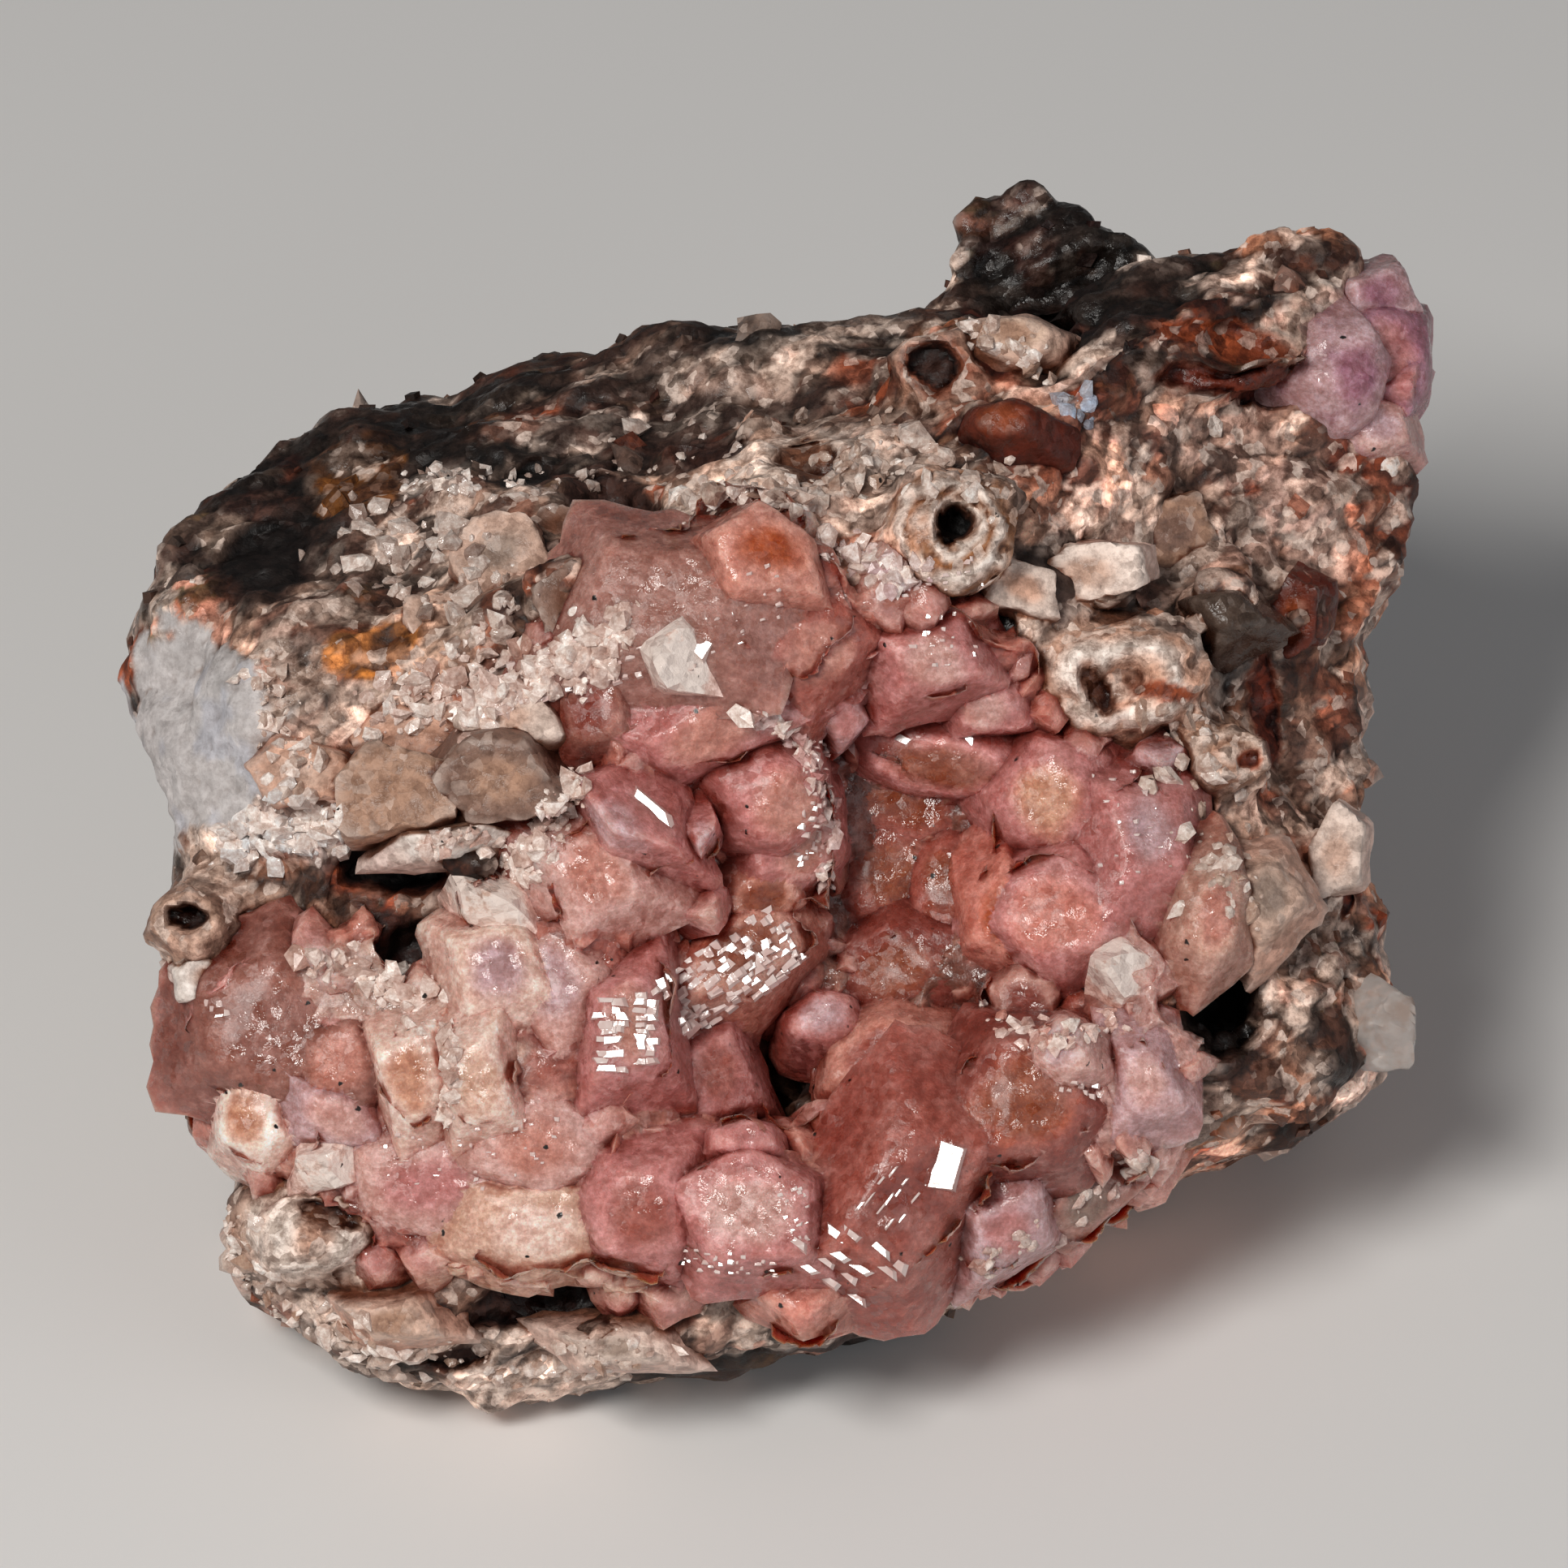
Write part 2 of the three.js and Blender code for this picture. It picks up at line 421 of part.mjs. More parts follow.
// One crystal. lift raises it off the rock, and swell moves its corners away from its middle.
function crystal([, across, up, width, height, turn, tall, lean, leanTo, form], lift = 0, swell = 0) {
  const frame = growth(across, up, turn, lean, leanTo);
  const at = (rise, right, ahead) => frame(rise + lift, right, ahead);
  const corners = FORMS[form].flatMap(([rise, share, count], level) => {
    const reach = rise ? rise * tall : -CRYSTAL_ROOT;
    return ring(at, reach, share * width, share * height, count, Math.round(across * 10) + level);
  });
  const middle = corners.reduce((sum, c) => sum.add(c), new THREE.Vector3()).divideScalar(corners.length);
  if (swell) corners.forEach((c) => c.addScaledVector(c.clone().sub(middle).normalize(), swell));
  return solidOf(new ConvexGeometry(corners));
}

// A pit: a funnel that opens outwards, from a mouth well above the surface to its narrow end.
function pit([, across, up, width, height, turn, depth], rise = 0) {
  const at = growth(across, up, turn);
  const seed = Math.round(across * 10);
  return solidOf(
    new ConvexGeometry([
      ...ring(at, rise + PIT.mouth, PIT.flare * width, PIT.flare * height, PIT.corners, seed),
      ...ring(at, rise, width, height, PIT.corners, seed),
      ...ring(at, rise - depth, PIT.end * width, PIT.end * height, PIT.corners, seed),
    ]),
  );
}

// The pit in the top of a ring nodule.
function nodulePit([name, across, up, width, height, turn, tall]) {
  const { share, depth, aside } = NODULE_PIT;
  return pit([name, across + aside * width, up, share * width, share * height, turn, depth], tall);
}

// Everything under the resting face, as seen in the leaning face frame.
function underFloor() {
  const { wide, deep } = UNDER_FLOOR;
  const box = new THREE.BoxGeometry(wide, wide, deep);
  box.translate(0, 0, -FLOOR_DROP - deep / 2);
  box.rotateX(degrees(FACE_TILT - 90));
  return solidOf(box);
}

function hostRock() {
  const grown = ROCK_CRYSTALS.map((row) => crystal(row));
  const nodulePits = ROCK_CRYSTALS.filter((row) => row[9] === "ring").map(nodulePit);
  const spur = solidOf(new ConvexGeometry(SPUR_CORNERS.map((c) => new THREE.Vector3(...c))));
  return joined([solidOf(lump), spur, ...grown]).subtract(joined([underFloor(), pits, ...nodulePits]));
}

// How fully the crust covers a place on the face: 1 well inside its ovals, 0 outside them.
function crustCover(across, up) {
  const { full, gone, ragged, raggedSize } = CRUST_EDGE;
  const wander = ragged * noise(across / raggedSize, up / raggedSize, 0);
  return CRUST_OVALS.reduce((most, [x, y, halfWidth, halfHeight]) => {
    const far = Math.hypot((across - x) / halfWidth, (up - y) / halfHeight) + wander;
    return Math.max(most, 1 - smoothstep(far, full, gone));
  }, 0);
}

// The lump raised under the crust and shrunk elsewhere, so that cutting the rock leaves a sheet.
const SHEET_RISE = PIECE_GAP + CRUST_THICKNESS;
const crustSheet = () =>
  grownLump((p) => {
    const cover = p.z > CRUST_EDGE.depth ? crustCover(p.x, p.y) : 0;
    return cover * SHEET_RISE - (1 - cover) * CRUST_EDGE.under;
  });

const pits = joined(PITS.map((row) => pit(row)));
const clearance = joined([
  grownLump(() => PIECE_GAP),
  ...ROCK_CRYSTALS.map((row) => crystal(row, 0, PIECE_GAP)),
]);

// The largest separate body of a solid: slivers that a cut leaves are dropped.
function mainBody(solid) {
  return solid.decompose().sort((a, b) => b.volume() - a.volume())[0];
}

function pocketCrust() {
  const crystals = POCKET_CRYSTALS.map((row) => crystal(row, SHEET_RISE));
  return mainBody(joined([crustSheet(), ...crystals]).subtract(joined([clearance, pits])));
}

function cluster(rows) {
  return mainBody(joined(rows.map((row) => crystal(row))).subtract(clearance));
}

// A calcite or rock finish.
function finish(colour, roughness) {
  return new THREE.MeshStandardMaterial({ color: colour, roughness, metalness: 0, flatShading: true });
}

const PIECES = [
  ["host_rock", hostRock(), finish(0x9c8a7c, 0.75)],
  ["pocket_crystal_crust", pocketCrust(), finish(0xc98a84, 0.35)],
  ["corner_crystal_cluster", cluster(CORNER_CRYSTALS), finish(0xa56f84, 0.4)],
  ["edge_crystal", cluster([EDGE_CRYSTAL]), finish(0xe6e2dc, 0.2)],
];

const face = new THREE.Group();
face.rotation.x = degrees(90 - FACE_TILT);
for (const [name, solid, material] of PIECES) {
  const mesh = new THREE.Mesh(geometryOf(solid), material);
  mesh.name = name;
  face.add(mesh);
}

const specimen = new THREE.Group();
specimen.position.set(-FOOT_CENTRE.x, -FOOT_CENTRE.y, FLOOR_DROP);
specimen.add(face);

export default specimen;
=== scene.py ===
# Cobaltoan calcite specimen: a lump of iron-stained host rock, the crust of pink crystals in its
# hollow, the mauve crystals on its corner and the clear one on its edge. Blender units are metres.
# Shapes are worked out in millimetres in the face frame, square on to the crystal face: across,
# up and out of it. Each mesh is turned into the specimen's own frame when it is made.
import itertools
import math

import bmesh
import bpy
import numpy as np
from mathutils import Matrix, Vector
from mathutils.bvhtree import BVHTree


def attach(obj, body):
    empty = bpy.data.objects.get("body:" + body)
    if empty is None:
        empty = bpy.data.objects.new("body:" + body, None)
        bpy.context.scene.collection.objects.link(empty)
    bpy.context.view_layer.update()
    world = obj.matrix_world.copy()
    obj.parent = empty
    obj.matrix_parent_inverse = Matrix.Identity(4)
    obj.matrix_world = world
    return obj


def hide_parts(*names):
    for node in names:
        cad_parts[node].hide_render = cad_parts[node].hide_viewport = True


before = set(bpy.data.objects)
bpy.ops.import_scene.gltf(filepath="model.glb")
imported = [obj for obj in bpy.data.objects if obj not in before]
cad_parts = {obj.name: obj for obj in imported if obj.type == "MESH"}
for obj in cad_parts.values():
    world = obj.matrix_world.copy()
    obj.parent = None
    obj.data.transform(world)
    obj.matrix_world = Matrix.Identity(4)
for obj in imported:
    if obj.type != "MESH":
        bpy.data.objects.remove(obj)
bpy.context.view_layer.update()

MM = 0.001
FACE_TILT = math.radians(40)  # the crystal face looks this far above the horizon
FACE_MIDDLE = np.array((-1.0, -5.5, 23.6))  # middle of the face, in the specimen's frame
FACE_AXES = np.array((
    (1, 0, 0),
    (0, math.sin(FACE_TILT), math.cos(FACE_TILT)),
    (0, -math.cos(FACE_TILT), math.sin(FACE_TILT)),
))

# Sizes and depths on the face, in millimetres. Depths count out of the face.
ROCK_SPACING = 0.56  # of the rock's mesh, before its front is refined
CRUST_SPACING = 0.34  # of the mesh of the crust's sheet
SHEET_RISE = 1.82  # top of the crust's sheet above the rock
FINE_DEPTH = -13  # the rock's mesh is refined in front of this depth
NODULE_DEPTH = -11  # nodules and pits show in front of this depth
BARE_DEPTH = -12  # blocks and chips stay clear of the named forms in front of this depth
CHALK_DEPTH = (-12.5, -10)  # the chalk fades out between these depths
GRAINS_ABOVE = 2.4  # blocks and chips stand this high above the resting face, or higher
SUGAR_ABOVE = 1.5  # and the small sharp crystals this high
FLOOR_REACH = 1.5  # half the width of the studio's floor, in metres
PHOTO_WIDTH = 70.5  # the camera takes in this much of the face

# How crystals grow.
SURFACE_PULL = 0.7  # how far a crystal leans over with the surface under it
ROOT = 2.2  # how deep it reaches under that surface
SPREAD = 1.16  # how much wider crystals are at their feet, where they grow into each other
RUSTY_TONES = ("ochre", "orange", "rust", "brown")  # cores in these tones have a stronger halo
INFILL = 190  # small crystals between the large ones of the pocket
INFILL_GAP = 1.2  # how far apart they are at least
INFILL_TONES = (("salmon", "deep_salmon"), ("rose", "blush"), ("salmon", "coral"), ("blush", "lilac"))
INFILL_FORMS = ("block", "rhomb", "rhomb", "block")
HOLE = (-0.3, -13.6)  # the open hole in the crust
HOLE_REACH = 2.4  # how far from its middle no small crystal grows

# How the rock breaks and what shades it.
GRAIN = 24  # turn of the rock's grain on the face, in degrees
GRAIN_STRETCH = 1.5  # its blocks are this much longer along the grain
BLOCK_STRAY = 0.7  # how far leaning blocks stray from an even grid
BLOCK_RISE = 0.7  # how much some of them stand out over others
RIGHT_WARMTH = np.array((0.36, 0.02, -0.14))  # red, green and blue that the right side gains
FOOT_COOLNESS = np.array((0.04, 0.0, -0.05))  # and that the foot loses
CREVICE_RAYS = 9  # ways that each vertex looks for what closes it in
CREVICE_REACH = 5.0  # how far it looks

# Light and shaders.
KEY_LIGHT = (-0.36, -0.56, 0.8)  # way to the main lamp
FILL_LIGHT = (0.9, -0.7, 0.35)  # way to the other one
PLAIN = (1.0, 1.0, 1.0, 1.0)  # leaves a tone as it is
STORED_AS = {1: ("FLOAT", "value"), 3: ("FLOAT_VECTOR", "vector"), 4: ("FLOAT_COLOR", "color")}

# Tones of the calcite and the rock, as everyday hex colours.
SWATCHES = {
    "salmon": "c98878", "deep_salmon": "a4574a", "rose": "c07c78", "lilac": "c09a9c",
    "coral": "cf8070", "orange": "c8602c", "rust": "8f4628", "ember": "5e2414",
    "brown": "6e4836", "umber": "3a241e", "black": "120a08", "cream": "d3b3a2",
    "tan": "a98570", "taupe": "84675a", "pale": "e2cfc4", "white": "f0e9e4",
    "grey": "9c887c", "smoke": "50423a", "olive": "85705f", "chalk": "c6c2c2",
    "ice": "b9c2d6", "mauve": "a56d7c", "peach": "d9ae98", "blush": "d2a39a",
    "ochre": "9a5f26", "dusk": "a8766a", "amber": "b04e1e", "snow": "f4e3d9",
    "hazel": "bd9080", "shell": "f7dbcf", "petal": "ecc9bb", "apricot": "cc9478",
    "brick": "8c4236", "madder": "90594c",
}

# Crystals of the pocket: where each stands, its width and height seen square on, its turn, how
# tall it is, how far it leans and which way, its form, the tones of its rim and core, and frost.
CRYSTALS = [
    ("hood_block", -4.9, 7.5, 8.2, 5.8, -24, 1.5, 14, 110, "block", "dusk", "dusk", 0),
    ("orange_core", -1.3, 9.3, 5.0, 3.8, -14, 2.3, 6, 60, "plate", "salmon", "amber", 0),
    ("hood_shoulder", 0.9, 6.2, 5.2, 4.4, 30, 1.2, 10, 60, "block", "deep_salmon", "salmon", 0),
    ("rose_block", 6.2, 5.8, 4.8, 4.0, 8, 2.2, 10, 80, "block", "rose", "blush", 0.1),
    ("hood_lip", -3.6, 3.4, 7.4, 4.2, 22, 1.5, 16, 280, "block", "rose", "salmon", 0),
    ("left_lip", -8.0, 3.1, 3.6, 3.8, 0, 0.8, 10, 180, "block", "madder", "brick", 0),
    ("salmon_shelf", 7.0, 1.9, 7.6, 3.6, -10, 1.3, 8, 270, "dome", "rose", "rust", 0),
    ("shelf_left", 2.3, 3.6, 2.2, 2.4, 20, 1.6, 0, 0, "block", "lilac", "rose", 0),
    ("shelf_top", 9.0, 3.9, 3.4, 2.6, 0, 1.0, 0, 0, "block", "rose", "blush", 0),
    ("thumb", -1.6, 0.1, 4.8, 5.0, 12, 3.4, 8, 300, "dome", "rose", "salmon", 0),
    ("thumb_body", -0.7, -1.9, 4.8, 5.6, 0, 2.6, 10, 300, "dome", "rose", "salmon", 0),
    ("left_wing", -6.6, -1.2, 5.6, 2.8, -36, 2.4, 22, 200, "rhomb", "rose", "lilac", 0),
    ("wing_ball", -4.3, -1.5, 2.0, 2.1, 0, 2.6, 0, 0, "rhomb", "rose", "lilac", 0),
    ("wing_root", -8.4, -4.0, 4.6, 5.2, 14, 0.9, 8, 160, "block", "blush", "salmon", 0),
    ("small_pale", -4.2, -5.2, 2.8, 2.2, 30, 2.4, 8, 240, "rhomb", "rose", "blush", 0),
    ("thumb_foot", -1.7, -3.9, 4.4, 3.4, 0, 2.2, 10, 270, "dome", "salmon", "rust", 0),
    ("parquet_ridge", -2.5, -8.2, 6.8, 3.8, 30, 2.1, 10, 90, "dome", "salmon", "rust", 0),
    ("striated_block", -7.1, -11.1, 3.8, 5.6, 0, 2.4, 8, 100, "block", "rose", "salmon", 0),
    ("left_wall", -10.0, -8.8, 4.4, 5.2, 20, 0.7, 10, 150, "block", "blush", "lilac", 0),
    ("inner_wall", -3.9, -13.2, 4.0, 4.6, 0, 1.0, 6, 0, "block", "rose", "deep_salmon", 0),
    ("rose_ball", 1.9, -11.2, 3.5, 2.9, 10, 2.7, 6, 90, "dome", "rose", "lilac", 0),
    ("inner_salmon", 4.9, -12.8, 5.4, 4.6, 0, 1.5, 6, 200, "dome", "salmon", "deep_salmon", 0),
    ("deep_crystal", 10.6, -14.2, 6.8, 6.4, 20, 2.5, 12, 320, "dome", "brick", "rust", 0),
    ("glassy_ball", 13.1, -12.4, 3.1, 3.1, 0, 3.7, 0, 0, "dome", "blush", "lilac", 0.2),
    ("long_crystal", 4.8, -17.8, 10.0, 5.4, 50, 3.1, 10, 300, "block", "deep_salmon", "brick", 0),
    ("pale_plate", -1.6, -19.4, 6.2, 5.0, -14, 2.6, 12, 90, "plate", "rose", "blush", 0.1),
    ("plate_top", -2.0, -16.6, 3.2, 2.2, 0, 2.0, 0, 0, "dome", "rose", "rose", 0),
    ("left_rose", -6.2, -18.4, 5.0, 5.0, 20, 1.7, 6, 240, "dome", "rose", "deep_salmon", 0),
    ("coral_crystal", 12.3, -6.0, 6.2, 5.4, -10, 2.3, 8, 0, "dome", "rose", "coral", 0),
    ("coral_root", 10.0, -5.8, 3.8, 4.6, 0, 2.0, 6, 180, "dome", "coral", "amber", 0),
    ("orange_heart", 12.1, -0.6, 5.0, 5.6, 15, 2.1, 6, 20, "dome", "rose", "apricot", 0),
    ("brown_core", 11.0, -9.1, 3.3, 2.8, -20, 2.0, 0, 0, "plate", "dusk", "brick", 0),
    # The inner crystals' dark tones are partly painted shade deep in the pocket.
    ("inner_mass", 4.7, -4.0, 5.6, 5.4, 30, 0.3, 6, 90, "dome", "deep_salmon", "rust", 0),
    ("inner_right", 7.6, -4.8, 3.4, 5.0, 0, 0.3, 6, 90, "dome", "deep_salmon", "rust", 0),
    ("inner_top", 5.2, -0.8, 6.2, 4.0, 0, 0.3, 10, 90, "dome", "deep_salmon", "rust", 0),
    ("inner_low", 5.4, -8.4, 6.6, 4.4, 12, 0.3, 8, 270, "dome", "brick", "rust", 0),
    ("side_oval", 18.8, -6.0, 3.0, 5.4, -6, 1.1, 0, 0, "dome", "hazel", "salmon", 0),
    ("small_lilac", 16.6, 1.1, 2.4, 2.0, 0, 1.1, 0, 0, "rhomb", "lilac", "lilac", 0),
    ("lilac_foot", 9.4, -19.0, 4.0, 4.2, 0, 1.5, 8, 300, "block", "lilac", "rose", 0),
    ("rim_right", 15.9, -2.8, 4.2, 5.2, 0, 0.8, 0, 0, "block", "rose", "lilac", 0),
    ("right_rose", 15.9, -13.2, 3.0, 4.2, 0, 0.9, 0, 0, "block", "lilac", "blush", 0.1),
    ("tip_low", 0.7, -22.6, 3.6, 2.8, 0, 1.3, 10, 270, "rhomb", "salmon", "coral", 0),
    ("lower_rim", 12.9, -18.0, 4.4, 3.4, 30, 0.9, 6, 300, "block", "dusk", "taupe", 0),
    ("pink_mass", -22.8, -10.8, 6.8, 6.8, 0, 1.1, 0, 0, "dome", "madder", "madder", 0),
    ("pink_mass_low", -19.4, -12.4, 4.6, 4.4, 0, 0.9, 0, 0, "dome", "madder", "salmon", 0),
    ("lilac_blade", -20.1, -14.3, 4.6, 3.0, -22, 1.8, 10, 300, "block", "lilac", "blush", 0.1),
    ("white_nodule", -23.2, -14.8, 3.4, 4.2, 10, 1.6, 6, 180, "dome", "shell", "apricot", 0.3),
    ("cream_left", -16.2, -12.8, 3.2, 5.0, 4, 1.8, 6, 270, "block", "petal", "apricot", 0.2),
    ("cream_right", -13.4, -12.6, 3.2, 5.0, -4, 2.1, 6, 270, "block", "petal", "peach", 0.3),
    ("lilac_block", -12.5, -8.5, 4.6, 4.6, 0, 1.6, 6, 90, "block", "petal", "lilac", 0.1),
    ("low_sheet", -15.4, -17.4, 7.6, 5.0, 8, 0.7, 4, 270, "dome", "blush", "rose", 0),
    ("low_middle", -11.0, -15.8, 6.0, 4.4, -6, 0.7, 4, 270, "dome", "blush", "salmon", 0),
    ("low_peach", -11.2, -19.4, 6.6, 4.6, 0, 0.7, 4, 270, "dome", "peach", "petal", 0.1),
]

# Frosted white crystals, in the same terms.
FROSTED = [
    ("white_chip", -4.0, 5.6, 2.8, 3.2, 10, 2.6, 12, 120, "rhomb", "shell", "petal", 0.8),
    ("white_facet", 15.3, -8.6, 2.4, 2.9, 15, 1.8, 0, 0, "rhomb", "petal", "petal", 0.7),
    ("bright_facet", -12.6, -5.6, 3.6, 2.4, -30, 1.7, 18, 120, "rhomb", "shell", "cream", 0.7),
    ("white_chip_left", -20.3, -17.0, 2.8, 2.1, 20, 1.2, 0, 0, "rhomb", "shell", "shell", 0.6),
]

# Strings of small sharp crystals: the way that each string runs on the face, how many stand on it,
# their size, how far they stray from it, and their lightest and darkest tones.
STRINGS = [
    ("thumb_rim", ((-1.4, 2.9), (0.8, 1.9), (1.8, -0.6), (1.9, -4.6)), 150, 0.42, 0.2, "snow", "rose"),
    ("ridge", ((-14.4, 3.0), (-11.4, 4.8), (-8.0, 6.2)), 190, 0.55, 0.7, "snow", "hazel"),
    ("ridge_end", ((-9.0, 4.4), (-7.6, 6.4), (-7.0, 7.4)), 60, 0.45, 0.4, "snow", "hazel"),
    ("vein", ((-9.0, 0.6), (-10.4, -1.8), (-12.2, -4.6)), 130, 0.5, 0.45, "snow", "hazel"),
    ("core_rim", ((8.8, -10.4), (11.8, -11.3), (14.8, -10.6)), 70, 0.45, 0.25, "snow", "salmon"),
    ("low_rim", ((8.6, -21.2), (11.9, -20.0), (16.6, -16.4)), 45, 0.45, 0.4, "pale", "dusk"),
    ("left_band", ((-21.0, -7.6), (-18.0, -8.6), (-15.8, -10.0)), 90, 0.5, 0.5, "snow", "hazel"),
    ("pair_edge", ((-14.9, -10.4), (-14.7, -12.8), (-14.9, -15.2)), 50, 0.45, 0.2, "snow", "hazel"),
    ("chalk_foot", ((-24.6, -2.6), (-22.4, -1.8), (-20.0, -2.0)), 150, 0.55, 0.6, "snow", "chalk"),
    ("chalk_edge", ((-23.4, 5.4), (-22.4, 2.0), (-21.4, -0.6)), 70, 0.4, 0.6, "snow", "tan"),
    ("hood_edge", ((2.2, 10.6), (4.2, 9.6), (6.0, 8.9)), 90, 0.5, 0.4, "snow", "lilac"),
    ("right_rim", ((17.6, 3.2), (18.6, -1.8), (20.4, -5.4)), 70, 0.5, 0.8, "pale", "tan"),
    ("slope", ((-19.0, 11.4), (-15.2, 9.8), (-12.0, 7.2)), 90, 0.55, 1.1, "pale", "taupe"),
    ("slope_foot", ((-18.2, 3.4), (-15.2, 4.2), (-13.0, 6.0)), 110, 0.5, 0.8, "snow", "hazel"),
    ("slope_top", ((-17.2, 13.6), (-15.2, 14.0), (-13.0, 13.2)), 50, 0.45, 0.4, "snow", "taupe"),
    ("crest", ((-12.6, 13.2), (-6.0, 14.8), (-0.6, 13.6)), 60, 0.4, 0.8, "pale", "taupe"),
    ("plate_edge", ((-16.0, -2.6), (-14.2, -2.3), (-12.2, -2.6)), 50, 0.4, 0.2, "snow", "hazel"),
    ("centre", ((1.6, 13.2), (4.0, 14.8), (9.4, 13.6)), 90, 0.5, 0.8, "pale", "tan"),
    ("hood_crest", ((-4.8, 12.7), (-1.6, 13.2), (1.4, 12.6)), 110, 0.5, 0.3, "snow", "tan"),
    ("top_rim", ((8.6, 20.6), (10.6, 19.4), (11.6, 18.6)), 40, 0.5, 0.4, "snow", "tan"),
    # The silver string's ice tone is partly a painted glint.
    ("silver", ((12.6, 17.2), (13.8, 16.6)), 16, 0.5, 0.3, "ice", "smoke"),
    ("left_rim", ((-25.0, -19.4), (-22.8, -23.4), (-17.0, -25.4)), 110, 0.45, 0.5, "snow", "tan"),
    ("low_edge", ((-16.8, -25.6), (-11.0, -26.2), (-6.0, -25.6)), 70, 0.5, 0.6, "pale", "tan"),
]

# Blocks and plates of pale calcite that stand out of the rock, in the terms of the crystals.
STONES = [
    ("tan_plate", -17.2, -0.3, 5.2, 3.6, -6, 2.1, 10, 270, "tile", "tan", "tan", 0),
    ("grey_plate", -12.7, 0.3, 4.8, 3.8, 6, 2.0, 10, 270, "tile", "taupe", "tan", 0),
    ("left_plate", -21.3, 0.6, 4.4, 2.6, -4, 1.2, 8, 270, "tile", "peach", "cream", 0),
    ("edge_plate", -14.8, -2.5, 4.6, 1.8, 6, 2.2, 14, 270, "rhomb", "white", "pale", 0.3),
    ("peach_plate", -16.6, 2.0, 4.8, 2.8, 6, 1.2, 6, 270, "tile", "peach", "peach", 0),
    ("peach_block", -12.2, 2.9, 4.2, 2.8, 4, 1.5, 8, 90, "tile", "pale", "cream", 0.1),
    ("peach_small", -9.7, 3.5, 2.2, 2.0, 0, 1.9, 0, 0, "block", "blush", "pale", 0.1),
    ("grey_block", -12.8, 10.4, 4.2, 3.4, 14, 1.2, 10, 100, "tile", "cream", "grey", 0),
    ("grey_upper", -10.2, 11.6, 2.8, 2.2, 10, 1.1, 10, 100, "tile", "taupe", "brown", 0),
    ("smoky_block", -9.2, 8.2, 3.6, 3.4, -14, 1.0, 8, 90, "tile", "taupe", "brown", 0),
    ("slope_block", -15.6, 7.6, 3.0, 2.2, 20, 1.0, 6, 90, "tile", "cream", "grey", 0),
    ("white_slab", 13.6, 9.5, 4.8, 2.3, 8, 1.6, 0, 0, "tile", "snow", "cream", 0),
    ("cream_block", 10.4, 8.8, 3.8, 2.4, -14, 1.7, 0, 0, "tile", "pale", "peach", 0),
    ("tan_slab", 17.6, 11.4, 3.8, 3.0, 20, 1.0, 0, 0, "tile", "tan", "taupe", 0),
    ("dark_glass", 19.9, 7.6, 2.6, 2.6, 20, 1.6, 0, 0, "block", "smoke", "smoke", 0),
    ("red_block", 22.9, 7.6, 2.2, 3.4, -6, 1.1, 0, 0, "tile", "ember", "rust", 0),
    ("white_lump", 21.6, -5.0, 3.4, 3.8, 10, 1.2, 0, 0, "block", "cream", "grey", 0),
    ("right_facet", 24.8, -3.2, 2.4, 3.8, -8, 1.1, 0, 0, "tile", "pale", "cream", 0),
    ("rust_dome", 9.8, 16.2, 3.3, 2.3, -14, 1.6, 10, 90, "dome", "ember", "rust", 0),
    ("top_lump", 10.4, 20.2, 4.0, 2.4, 0, 1.2, 0, 0, "dome", "cream", "tan", 0),
    ("left_chip", -25.4, -8.7, 3.4, 1.8, -10, 1.2, 0, 0, "tile", "white", "cream", 0.2),
    ("low_lump", -7.5, -25.0, 3.8, 1.8, 0, 1.3, 0, 0, "block", "pale", "grey", 0.1),
    ("low_chip", -17.4, -23.9, 3.6, 2.0, 6, 1.3, 0, 0, "block", "cream", "tan", 0),
    ("rim_block", -24.0, -20.6, 3.0, 2.4, 20, 1.2, 0, 0, "block", "pale", "cream", 0.1),
]

